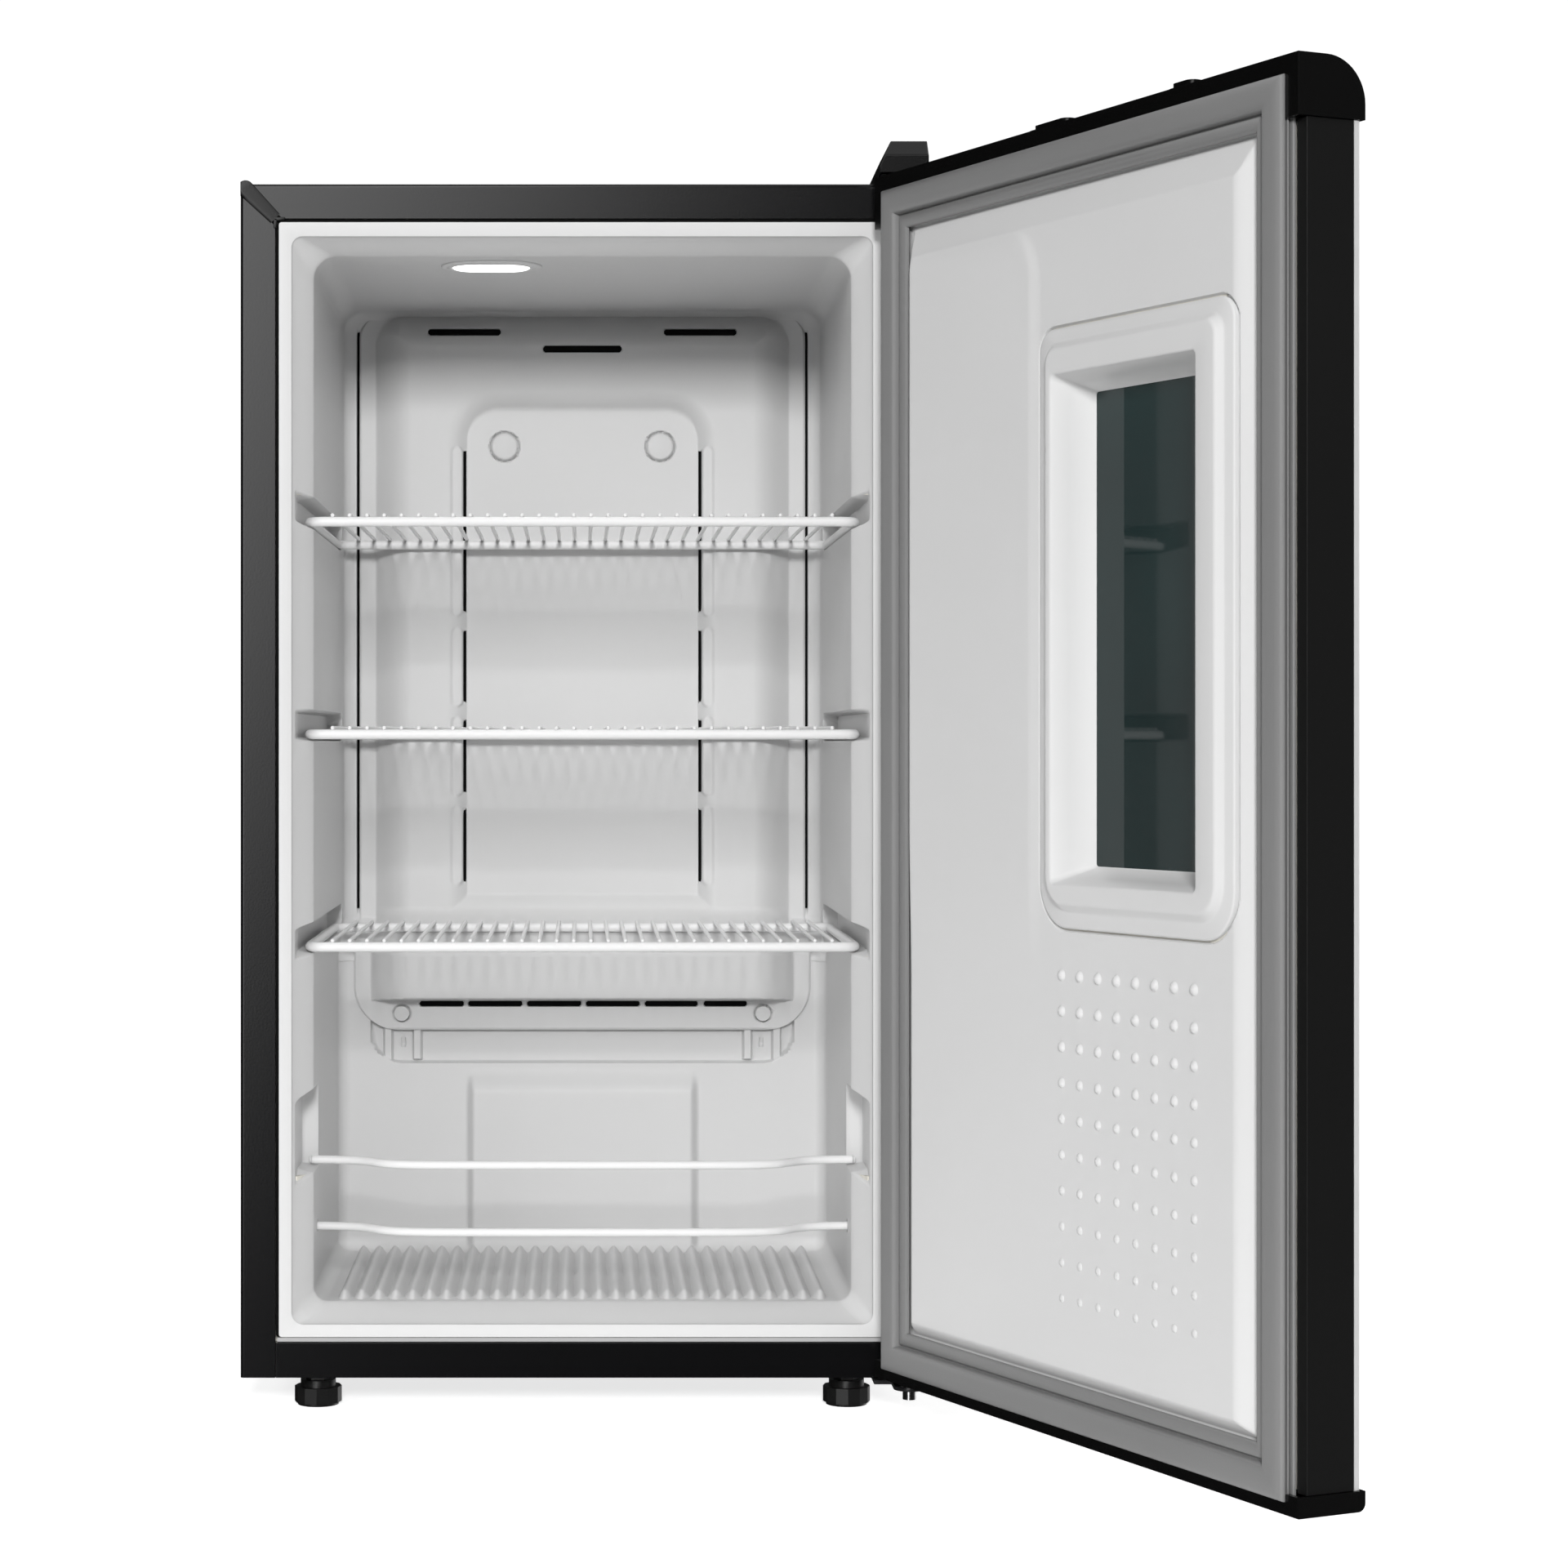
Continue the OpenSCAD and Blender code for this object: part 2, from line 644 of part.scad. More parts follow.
module relay_cover() color(black) {
  difference() {
    box(0.5, 34, 362, 410, 88, 150);
    box(-1, 32, 364, 408, 90, 148);
  }
}

module filter_drier() color([0.72, 0.45, 0.3]) {
  rod_z(9.5, 110, 190, 72, 345);
  rod_z(3, 95, 205, 72, 345);
  translate([72, 345, 190]) cylinder(r1 = 9.5, r2 = 3, h = 8);
  translate([72, 345, 102]) cylinder(r1 = 3, r2 = 9.5, h = 8);
}

module refrigerant_pipe() color([0.72, 0.45, 0.3]) {
  bent_bar([[pipe_x, service_y, 352], [pipe_x, service_y, 240], [pipe_x, 420, 200], [60, 430, 120],
    [comp_cx + 55, comp_cy + 28, 80]], 3);
}

condenser_y = cab_d + steel + 9;
runs = 11;
run_pitch = 46;
run_z = 310;

module condenser() color(black) {
  for (i = [0 : runs - 1]) rod_x(2.5, -190, 190, condenser_y, run_z + i * run_pitch);
  for (i = [0 : runs - 2]) {
    side = i % 2 == 0 ? 1 : -1;
    translate([side * 190, condenser_y, run_z + (i + 0.5) * run_pitch]) rotate([90, 0, 0]) rotate([0, 0, -side * 90])
      rotate_extrude(angle = 180) translate([run_pitch / 2, 0]) circle(2.5);
  }
  for (x = [-184 : 23 : 184], s = [-1, 1]) rod_z(0.8, run_z - 18, run_z + (runs - 1) * run_pitch + 18, x, condenser_y + s * 3.35);
}

module control_box() color([0.85, 0.85, 0.85]) {
  difference() {
    box(130, 222, 325, 430, 80, 190);
    box(132, 220, 323, 428, 82, 188);
  }
}

module mains_gland() color(black) {
  difference() {
    union() {
      rod_y(8, cab_d - 12, cab_d + 8, 180, 44);
      rod_y(11, cab_d - 0.9, cab_d + 3, 180, 44);
      rod_y(11, cab_d - 6, cab_d - 2.6, 180, 44);
    }
    rod_y(3.6, cab_d - 14, cab_d + 10, 180, 44);
  }
}

// ---- feet ----------------------------------------------------------------------------------------
module foot(x) translate([x, foot_y, 0]) color(black) {
  cylinder(r = 14.5, h = 2.1);
  translate([0, 0, 2]) cylinder(r = 16.75, h = 11, $fn = 12);
  translate([0, 0, 12.9]) cylinder(r = 12.5, h = 5);
  translate([0, 0, 17.8]) cylinder(r = 9, h = 6.4, $fn = 6);
  cylinder(r = 4, h = 40);
}

module foot_left() foot(-foot_x);
module foot_right() foot(foot_x);

module rear_feet() color(black) {
  for (x = [-foot_x, foot_x]) {
    rod_z(14, 0, 8, x, rear_foot_y);
    translate([x, rear_foot_y, 8]) cylinder(r1 = 14, r2 = 10, h = cab_z - 8.1);
    rod_z(4, cab_z - 1, cab_z + 6, x, rear_foot_y);
  }
}

// ---- hinges --------------------------------------------------------------------------------------
lower_screws = [[212, 18], [230, 18], [221, 36]];
upper_screws = [[214, 20], [231, 20], [222, 40]];

module hinge_lower() color(black) {
  difference() {
    along_z(cab_z - 3.1, cab_z - 0.1) union() {
      translate([204, -8]) square([35, 54]);
      translate([216, hinge_y]) square([22, 25]);
      translate([hinge_x, hinge_y]) circle(11);
    }
    rod_z(pin_r + pin_gap, cab_z - 5, cab_z + 2, hinge_x, hinge_y);
    rod_z(18.2, cab_z - 5, cab_z + 2, foot_x, foot_y);
    for (p = lower_screws) rod_z(2.2, cab_z - 5, cab_z + 2, p[0], p[1]);
  }
}

module hinge_lower_pin() color(silver) {
  rod_z(pin_r, cab_z - 4, door_z0 + 11, hinge_x, hinge_y);
  rod_z(4.6, 14.6, cab_z - 3.2, hinge_x, hinge_y);
  rod_z(7, cab_z, door_z0 - 0.5, hinge_x, hinge_y);
}

module hinge_upper() color(zinc) {
  difference() {
    union() {
      box(208, 237.1, 2, 56, cab_top + 0.1, cab_top + 2);
      box(208, 237.1, -14, 56, cab_top + 1.6, cab_top + 4.6);
      translate([0, 0, cab_top + 1.6]) linear_extrude(3) translate([hinge_x, hinge_y]) circle(10);
      along_z(cab_top + 1.6, cab_top + 4.6) translate([217.2, hinge_y]) square([19.6, 15]);
      rod_z(pin_r, door_z1 - 12, cab_top + 2, hinge_x, hinge_y);
    }
    for (p = upper_screws) rod_z(2.2, cab_top - 1, cab_top + 6, p[0], p[1]);
  }
}

module cover_shape(g) {
  intersection() {
    along_y(-38 + g, 60 - g) polygon([[205.5 + g, cab_top - 3], [205.5 + g, cab_top + 7], [214 + g, cab_top + 25.4 - g],
      [239.4 - g, cab_top + 25.4 - g], [239.4 - g, cab_top - 3]]);
    along_x(200, 245) polygon([[-38 + g, cab_top - 3], [-38 + g, cab_top + 14], [-26 + g, cab_top + 25.4 - g],
      [56 - g, cab_top + 25.4 - g], [60 - g, cab_top + 18], [60 - g, cab_top - 3]]);
  }
}

module hinge_cover() color(black) {
  difference() {
    cover_shape(0);
    cover_shape(2);
    box(190, 250, -60, 2.2, cab_top - 5, cab_top + 1.6);
    box(190, 250, 0, 80, cab_top - 5, cab_top + 0.1);
  }
}

module hinge_screws() color(silver) {
  for (p = lower_screws) {
    rod_z(4.4, cab_z - 5.4, cab_z - 3.2, p[0], p[1]);
    rod_z(2.1, cab_z - 4, cab_z - 0.1, p[0], p[1]);
  }
  for (p = upper_screws) {
    rod_z(4.4, cab_top + 4.7, cab_top + 7, p[0], p[1]);
    rod_z(2.1, cab_top + 0.1, cab_top + 5, p[0], p[1]);
  }
}

// ---- door, drawn closed --------------------------------------------------------------------------
skin_x = half_w - 1.6;
skin_y = door_front + 1.6;
cap_low = door_z1 - top_cap_h;
cap_high = door_z0 + low_cap_h;
frame_y = -12;
wall = 2;
// window, measured from the hinge axis towards the free edge
bezel_x = [hinge_x - 409.5, hinge_x - 200];
bezel_z = [352.5, 733];
pane_x = [hinge_x - 366, hinge_x - 230.5];
pane_z = [391.6, 692.7];
pane_y = -26;
mould_y = -4;
plateau_y = 2;
trim_x = [pane_x[0] - 22, pane_x[1] + 22];
trim_z = [pane_z[0] - 22, pane_z[1] + 22];

module door_skin() color(silver) swing() {
  difference() {
    along_z(cap_high + 0.2, cap_low - 0.2) difference() {
      union() {
        translate([-skin_x, skin_y + 3]) square([2 * skin_x, 2.1]);
        translate([-skin_x + 3, skin_y]) square([2 * skin_x - 6, 5.1]);
        for (s = [-1, 1]) translate([s * (skin_x - 3), skin_y + 3]) circle(3);
      }
      translate([-skin_x + steel, skin_y + steel]) square([2 * (skin_x - steel), 9]);
    }
    box(trim_x[0] + 4, trim_x[1] - 4, skin_y - 2, skin_y + 4, trim_z[0] + 4, trim_z[1] - 4);
  }
}

module side_section() {
  translate([-skin_x, skin_y + 5.2]) square([1.8, frame_y - skin_y - 5.2]);
  translate([-skin_x, frame_y - 1.8]) square([9.2, 1.8]);
  translate([-skin_x + 1, skin_y + 1.2]) square([0.8, 5]);
}

module door_side_free() color(black) swing() along_z(cap_high + 0.2, cap_low - 0.2) side_section();
module door_side_hinge() color(black) swing() mirror([1, 0, 0]) along_z(cap_high + 0.2, cap_low - 0.2) side_section();

// end view of a cap: Y across, Z up, with the front edge rounded by r and the walls moved in by g
module cap_profile(z0, z1, r, g) intersection() {
  translate([door_front + g, z0]) square([-5 - door_front - 2 * g, z1 - g - z0]);
  union() {
    translate([door_front + r, z0 - 1]) square([60, z1 - z0 + 2]);
    translate([door_front - 1, z0 - 1]) square([60, z1 - r - z0 + 1]);
    translate([door_front + r, z1 - r]) circle(r - g);
  }
}

module door_top_cap() color(black) swing() {
  difference() {
    union() {
      difference() {
        along_x(-half_w, half_w) cap_profile(cap_low, door_z1, cap_r, 0);
        difference() {
          along_x(-half_w + 3, half_w - 3) cap_profile(cap_low - 5, door_z1, cap_r, 3);
          box(-230.9, 230.9, -15.3, 0, cap_low - 6, 855.4);
        }
        box(-227.9, 227.9, -12.3, 0, cap_low - 7, 852.4);
      }
      rod_z(11.4, cap_low, door_z1 - 1.5, hinge_x, hinge_y);
    }
    rod_z(6.05, cap_low - 1, door_z1 + 1, hinge_x, hinge_y);
  }
}

module door_low_cap() color(black) swing() {
  difference() {
    union() {
      difference() {
        along_x(-half_w, half_w) translate([0, door_z0 + cap_high]) mirror([0, 1]) cap_profile(door_z0, cap_high, 5, 0);
        box(-half_w + 3, half_w - 3, door_front + 3, -8, door_z0 + 3, cap_high + 1);
        box(-227.9, 227.9, -12.3, 0, 36.6, cap_high + 2);
      }
      rod_z(11.4, door_z0 + 1.5, cap_high - 0.5, hinge_x, hinge_y);
    }
    rod_z(6.05, door_z0 - 1, cap_high + 1, hinge_x, hinge_y);
  }
}

module hinge_bushes() color(white) swing() {
  difference() {
    union() {
      rod_z(6, door_z0 + 0.2, cap_high + 1, hinge_x, hinge_y);
      rod_z(6, cap_low + 12, door_z1 - 0.2, hinge_x, hinge_y);
    }
    rod_z(pin_r + pin_gap, door_z0 - 1, door_z1 + 1, hinge_x, hinge_y);
  }
}

module cap_plugs() color(black) swing() {
  along_z(door_z1 + 0.05, door_z1 + 1.2) rounded(-2, 51, -23, -8, 7, 7);
  along_z(door_z1 + 1.1, door_z1 + 4.2) rounded(8, 46, -21, -10, 5, 5);
  along_z(door_z1 + 0.05, door_z1 + 1.2) rounded(-131, -104, -23, -8, 7, 7);
  along_z(door_z1 + 1.1, door_z1 + 4.4) rounded(-128, -107, -21, -10, 5, 5);
}

module door_foam() color([0.93, 0.88, 0.68]) swing() {
  difference() {
    union() {
      box(-236.2, 236.2, skin_y + 1, frame_y - wall - 0.2, cap_high + 1.6, cap_low - 1);
      box(-170, 180, frame_y - wall - 1, mould_y - wall - 0.3, 82, 796);
    }
    box(bezel_x[0] + 8, bezel_x[1] - 8, skin_y - 3, 5, bezel_z[0] + 12, bezel_z[1] - 12);
  }
}

// surface of the moulded inner face, set back by g
module liner_mound(g) intersection() {
  along_z(40, 850) polygon([[-198.5 + g, frame_y - 1], [-198.5 + g, frame_y], [-178.5 + g, mould_y - g],
    [190 - g, mould_y - g], [198.5 - g, frame_y], [198.5 - g, frame_y - 1]]);
  along_x(-210, 210) polygon([[frame_y - 1, 66 + g], [frame_y, 66 + g], [mould_y - g, 74 + g], [mould_y - g, 803 - g],
    [frame_y, 823 - g], [frame_y - 1, 823 - g]]);
}

dot_rows = 10;
dot_columns = 8;

module door_liner() color(white) swing() {
  difference() {
    union() {
      difference() {
        union() {
          box(-228.8, 228.8, frame_y - wall, frame_y, cap_high + 0.4, cap_low - 0.4);
          liner_mound(0);
        }
        liner_mound(wall);
        box(-196, 196, frame_y - wall - 1, frame_y, 68.5, 820.5);
      }
      difference() {
        intersection() {
          liner_mound(0);
          box(-199, 199, frame_y - wall, 10, 60, 830);
        }
        liner_mound(wall);
      }
      for (i = [0 : dot_columns - 1], j = [0 : dot_rows - 1]) intersection() {
        translate([hinge_x - 224.6 - i * 20.4, mould_y - 2.5, 323.6 - j * 22.7]) sphere(4.4);
        box(-180, 20, mould_y - 0.5, 5, 60, 360);
      }
    }
    box(bezel_x[0] + 12, bezel_x[1] - 12, frame_y - 5, 5, bezel_z[0] + 16, bezel_z[1] - 16);
  }
}

module window_tunnel(g) intersection() {
  along_z(340, 760) polygon([[pane_x[0] - 10.2 - g, plateau_y + 1], [pane_x[1] + 10.2 + g, plateau_y + 1],
    [pane_x[1] + g, pane_y], [pane_x[0] - g, pane_y]]);
  along_x(-200, 60) polygon([[plateau_y + 1, pane_z[0] - 10.4 - g], [pane_y, pane_z[0] - g],
    [pane_y, pane_z[1] + g], [plateau_y + 1, pane_z[1] + 10.4 + g]]);
}

module window_bezel() color(white) swing() {
  difference() {
    union() {
      along_y(mould_y + 0.05, mould_y + 1.6) rounded(bezel_x[0], bezel_x[1], bezel_z[0], bezel_z[1], 15, 30);
      intersection() {
        along_z(340, 760) polygon([[bezel_x[0] + 11, mould_y + 1], [bezel_x[1] - 10, mould_y + 1],
          [bezel_x[1] - 14, plateau_y], [bezel_x[0] + 15, plateau_y]]);
        along_x(-200, 60) polygon([[mould_y + 1, bezel_z[0] + 13], [plateau_y, bezel_z[0] + 17.5],
          [plateau_y, bezel_z[1] - 12], [mould_y + 1, bezel_z[1] - 8]]);
      }
      intersection() {
        window_tunnel(2.5);
        box(-200, 60, pane_y, mould_y + 1, 340, 760);
      }
    }
    window_tunnel(0);
  }
}

module pane(y0, y1, grow) along_y(y0, y1) rounded(pane_x[0] - grow, pane_x[1] + grow, pane_z[0] - grow, pane_z[1] + grow, 4, 4);

module glass_inner() color([0.1, 0.25, 0.25, 0.5]) swing() pane(pane_y - 3.2, pane_y - 0.2, 6);
module glass_outer() color([0.08, 0.15, 0.15, 0.6]) swing() pane(pane_y - 18.6, pane_y - 15.6, 6);

module glass_spacer() color(grey) swing() difference() {
  pane(pane_y - 15.4, pane_y - 3.4, 6);
  pane(pane_y - 16, pane_y - 3, -0.5);
}

module window_trim() color(black) swing() difference() {
  union() {
    along_y(skin_y - 1.4, skin_y - 0.1) rounded(trim_x[0], trim_x[1], trim_z[0], trim_z[1], 10, 10);
    box(trim_x[0] + 4.4, trim_x[1] - 4.4, skin_y - 0.6, pane_y - 18.8, trim_z[0] + 4.4, trim_z[1] - 4.4);
  }
  box(pane_x[0] - 1, pane_x[1] + 1, skin_y - 5, 0, pane_z[0] - 1, pane_z[1] + 1);
}

// gasket section: u runs inward from the outer edge, v is depth behind the sealing face
module gasket_section() polygon([[0, -2.6], [1.2, -0.9], [3.2, 0], [17.5, 0], [19.3, -2.2], [20, -4.6], [27.8, -5.6],
  [29, -7], [28.2, -8.4], [25, -8.8], [25, -11.3], [4, -11.3], [4, -9], [0.8, -8.4], [0, -7], [2.4, -5]]);

module gasket_side(half_run, half_across) intersection() {
  along_x(-half_run, half_run) translate([-0.6, half_across]) rotate(-90) gasket_section();
  along_y(-20, 5) polygon([[-half_run, half_across], [-half_run + 60, half_across - 60], [half_run - 60, half_across - 60],
    [half_run, half_across]]);
}

gasket_x = 227.5;
gasket_z = [37, 852];

module door_gasket() color(grey) swing() translate([0, 0, (gasket_z[0] + gasket_z[1]) / 2]) {
  half_z = (gasket_z[1] - gasket_z[0]) / 2;
  for (a = [0, 180]) rotate([0, a, 0]) gasket_side(gasket_x, half_z);
  for (a = [90, -90]) rotate([0, a, 0]) gasket_side(half_z, gasket_x);
}

// ---- drawing -------------------------------------------------------------------------------------
left_panel();
right_panel();
top_panel();
corner_trims();
back_panel();
base_pan();
front_rail();
sill_strip();
cabinet_foam();
inner_liner();
evaporator_cover();
cover_screws();
cover_caps();
evaporator_fins();
evaporator_tube();
fan_frame();
fan_motor();
fan_blades();
lamp_base();
lamp_board();
lamp_lens();
shelf_upper();
shelf_middle();
shelf_lower();
guard_upper();
guard_lower();
drain_tube();
drip_tray();
compressor();
compressor_plate();
compressor_grommets();
relay_cover();
filter_drier();
refrigerant_pipe();
condenser();
control_box();
mains_gland();
foot_left();
foot_right();
rear_feet();
hinge_lower();
hinge_lower_pin();
hinge_upper();
hinge_cover();
hinge_screws();
door_skin();
door_side_free();
door_side_hinge();
door_top_cap();
door_low_cap();
door_foam();
door_liner();
window_bezel();
window_trim();
glass_inner();
glass_outer();
glass_spacer();
door_gasket();
hinge_bushes();
cap_plugs();
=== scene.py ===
import math

import bmesh
import bpy
import numpy as np
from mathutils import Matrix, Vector


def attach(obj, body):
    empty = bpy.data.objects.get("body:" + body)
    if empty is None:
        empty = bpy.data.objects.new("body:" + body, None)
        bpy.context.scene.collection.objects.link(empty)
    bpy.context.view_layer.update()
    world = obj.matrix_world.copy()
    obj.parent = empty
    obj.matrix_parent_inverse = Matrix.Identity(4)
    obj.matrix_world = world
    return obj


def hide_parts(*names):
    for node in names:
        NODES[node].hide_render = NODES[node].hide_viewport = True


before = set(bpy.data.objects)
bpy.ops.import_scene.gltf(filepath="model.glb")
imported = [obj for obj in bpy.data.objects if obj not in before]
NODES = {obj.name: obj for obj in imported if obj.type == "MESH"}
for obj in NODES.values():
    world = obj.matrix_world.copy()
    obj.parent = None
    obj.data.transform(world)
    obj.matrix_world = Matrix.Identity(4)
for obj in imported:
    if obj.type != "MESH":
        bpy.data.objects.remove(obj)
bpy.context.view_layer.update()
MM = 0.001
WELD = 1e-5                                 # vertices closer than this, in metres, are one
SHARP = 32                                  # edges sharper than this, in degrees, are rounded
RELIEF = 0.0004                             # height of the materials' fine relief, in metres
COAT_ROUGH = 0.1

# ---- sizes, in millimetres, repeated from the CAD source ---------------------------------------
HINGE = (227.0, -25.0)                      # the door's axis, in X and Y
DOOR_ANGLE = math.radians(115.0)            # how far the photographed door stands open
HALF_W, CAB_TOP = 240.0, 862.6              # the cabinet's half width and its top
# compartment: the inner size, the wider mouth, and the depth over which one becomes the other
ROOM_X, ROOM_Z0, ROOM_Z1 = 190.4, 74.5, 815.0
MOUTH_X, MOUTH_Z0, MOUTH_Z1 = 203.8, 62.3, 825.4
MOUTH_D = 25.0
LIP_X, LIP_Z0, LIP_Z1 = 215.2, 53.2, 837.9  # outer edge of the front lip
SHADE_RING_W = 2.2                                  # width of the painted-shade ring in the gap round the lip
LOW_Y, HIGH_Y = 271.0, 337.0                # rear wall below and above the ledge
LEDGE_Z0, LEDGE_Z1 = 305.0, 327.0
REAR_R = 11.0                               # fillet between the walls and the rear wall
GROOVE_X, GROOVE_END = 202.0, 305.0         # shelf grooves: their depth in X, their rear end
GROOVES = [(623.0, 643.0), (472.5, 492.5), (322.0, 342.0)]
RIDGES, RIDGE_PITCH, RIDGE_H = 29, 12.1, 6.0
SHELF_Z = [626.8, 476.3, 325.8]
SHELF_Y = [(20.0, 305.0), (20.0, 305.0), (20.0, 273.0)]
SHELF_X = 197.0
RAIL_R, WIRE_R = 3.5, 1.5
WIRES, WIRE_PITCH = 30, 12.19
GUARDS = [("guard_upper", 170.6), ("guard_lower", 123.0)]
GUARD_R = 3.0
# evaporator cover: face above and below the ledge, outline, slots, caps and screws
COVER_Y, COVER_LOW_Y = HIGH_Y - 25.0, LOW_Y - 25.0
COVER_X, COVER_Z0, COVER_Z1 = 178.4, 246, 814
COVER_LOW_R, COVER_TOP_R = 34.0, 20.0
PAD_X, PAD_R = 99.6, 4.4                    # louvre pads beside the recess
PADS = ((571, 706), (499, 562), (428, 491), (357, 420))
SLOT_X = 93.9                               # the upright slot beside each pad
TOP_SLOTS = ((0.0, 31.0, 783.0, 2.5), (93.75, 28.75, 797.0, 2.2), (-93.75, 28.75, 797.0, 2.2))
FOOT_SLOTS = ((-127, -92.7), (-89, -47), (-43, -1), (3, 44.5), (49, 90), (95, 128.5))
FOOT_SLOT_Z, FOOT_SLOT_R = 266.6, 1.9
CAP_AT, SCREW_AT = (62.0, 706.5), (141.0, 259.0)
JOINT_SHADE_X = (178.3, 180.9)                    # the painted-shade strip in the joint beside the cover
# door: window pane, window frame, levels of the inner face in closed-door Y, gasket
PANE_X = (227.0 - 366.0, 227.0 - 230.5)
PANE_Z = (391.6, 692.7)
PANE_Y = -26.0
BEZEL_X = (227.0 - 409.5, 227.0 - 200.0)
BEZEL_Z = (352.5, 733.0)
BEZEL_LOW_R, BEZEL_TOP_R = 30.0, 15.0
FRAME_Y, MOULD_Y, PLATEAU_Y = -12.0, -4.0, 2.0
GASKET_X, GASKET_Z = 227.5, (37.0, 852.0)
GASKET_GAP = 0.6                            # how far the closed gasket stays from the cabinet
BUMPS_ACROSS, BUMPS_DOWN = 8, 10
BUMP_X, BUMP_Z = 227.0 - 224.6, 323.6       # the first bump of the grid
BUMP_STEP_X, BUMP_STEP_Z = 20.4, 22.7


# ---- small helpers -----------------------------------------------------------------------------
def smooth(a, b, x):
    """0 before a, 1 after b, easing between them."""
    t = np.clip((np.asarray(x, float) - a) / (b - a), 0.0, 1.0)
    return t * t * (3.0 - 2.0 * t)


def mirror(half):
    """Grid lines on both sides of 0, from the ones at or above it."""
    return np.concatenate([-half[::-1], half[1:]])


def sheet(x, y, z, keep=None):
    """A grid of points as vertices and faces."""
    return np.stack([x, y, z], -1).reshape(-1, 3), grid_faces(*x.shape, keep)


def lines(*spans, gap=0.18):
    """Grid lines: each span is (start, end, pitch). Spans may overlap; lines within gap merge."""
    out = set()
    for a, b, pitch in spans:
        n = max(1, int(round((b - a) / pitch)))
        out.update(round(a + (b - a) * i / n, 3) for i in range(n + 1))
    out = sorted(out)
    kept = [out[0]]
    for v in out[1:-1]:
        if v - kept[-1] > gap:
            kept.append(v)
    if out[-1] - kept[-1] < gap:
        kept[-1] = out[-1]
    else:
        kept.append(out[-1])
    return np.array(kept)


def turn_door(verts):
    """Closed-door coordinates to the open door's, in millimetres."""
    v = np.array(verts, float)
    c, s = math.cos(DOOR_ANGLE), math.sin(DOOR_ANGLE)
    x, y = v[:, 0] - HINGE[0], v[:, 1] - HINGE[1]
    out = v.copy()
    out[:, 0] = HINGE[0] + c * x - s * y
    out[:, 1] = HINGE[1] + s * x + c * y
    return out


def make(name, verts, faces, body, material, stands_for=(), on_door=False, angle=50.0):
    """A mesh piece from millimetre vertices, riding on a body.

    Edges that turn by more than angle, in degrees, stay sharp.
    """
    v = np.array(verts, float)
    if on_door:
        v = turn_door(v)
    mesh = bpy.data.meshes.new(name)
    mesh.from_pydata((v * MM).tolist(), [], [list(map(int, f)) for f in faces])
    bm = bmesh.new()
    bm.from_mesh(mesh)
    bmesh.ops.remove_doubles(bm, verts=bm.verts, dist=2 * WELD)
    bmesh.ops.dissolve_degenerate(bm, dist=0.1 * WELD, edges=bm.edges)
    bmesh.ops.recalc_face_normals(bm, faces=bm.faces)
    for e in bm.edges:
        e.smooth = len(e.link_faces) == 2 and e.calc_face_angle(0.0) < math.radians(angle)
    for f in bm.faces:
        f.smooth = True
    bm.to_mesh(mesh)
    bm.free()
    obj = bpy.data.objects.new(name, mesh)
    bpy.context.scene.collection.objects.link(obj)
    obj.data.materials.append(material)
    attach(obj, body)
    if stands_for:
        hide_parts(*stands_for)


def grid_faces(rows, cols, keep=None):
    """The quads of a rows by cols grid, or those of them that keep allows."""
    out = []
    for i in range(rows - 1):
        for j in range(cols - 1):
            if keep is None or keep[i, j]:
                a = i * cols + j
                out.append((a, a + 1, a + cols + 1, a + cols))
    return out


def join(parts):
    """Several (vertices, faces) as one."""
    verts, faces, base = [], [], 0
    for v, f in parts:
        verts.append(np.array(v, float))
        faces += [tuple(k + base for k in face) for face in f]
        base += len(v)
    return np.vstack(verts), faces


def tube(path, radius, sides, closed=False):
    """A swept round wire as vertices and faces; its open ends are domed."""
    p = np.array(path, float)
    n = len(p)
    if closed:
        t = np.roll(p, -1, 0) - np.roll(p, 1, 0)
    else:
        t = np.gradient(p, axis=0)
    t /= np.linalg.norm(t, axis=1)[:, None]
    up = np.array([0.0, 0.0, 1.0]) if abs(t[0][2]) < 0.9 else np.array([1.0, 0.0, 0.0])
    rings = []
    for i in range(n):
        side = np.cross(t[i], up)
        side /= np.linalg.norm(side)
        up = np.cross(side, t[i])
        rings.append((p[i], t[i], side.copy(), up.copy()))
    out, order = [], []

    def ring(centre, side, upv, r):
        a = np.arange(sides) * 2 * math.pi / sides
        out.extend((centre + r * (np.cos(k) * side + np.sin(k) * upv)) for k in a)
        order.append(len(out) - sides)

    domes = [math.radians(deg) for deg in (20, 45, 70)]
    if not closed:
        c, d, s, u = rings[0]
        for a in reversed(domes):
            ring(c - d * radius * math.sin(a) + d * radius, s, u, radius * math.cos(a))
        rings[0] = (c + d * radius, d, s, u)
        c, d, s, u = rings[-1]
        rings[-1] = (c - d * radius, d, s, u)
    for c, d, s, u in rings:
        ring(c, s, u, radius)
    if not closed:
        c, d, s, u = rings[-1]
        for a in domes:
            ring(c + d * radius * math.sin(a), s, u, radius * math.cos(a))
    faces = []
    m = len(order)
    for i in range(m if closed else m - 1):
        a, b = order[i], order[(i + 1) % m]
        for k in range(sides):
            faces.append((a + k, a + (k + 1) % sides, b + (k + 1) % sides, b + k))
    if not closed:
        faces.append(tuple(order[0] + k for k in range(sides)))
        faces.append(tuple(order[-1] + k for k in reversed(range(sides))))
    return out, faces


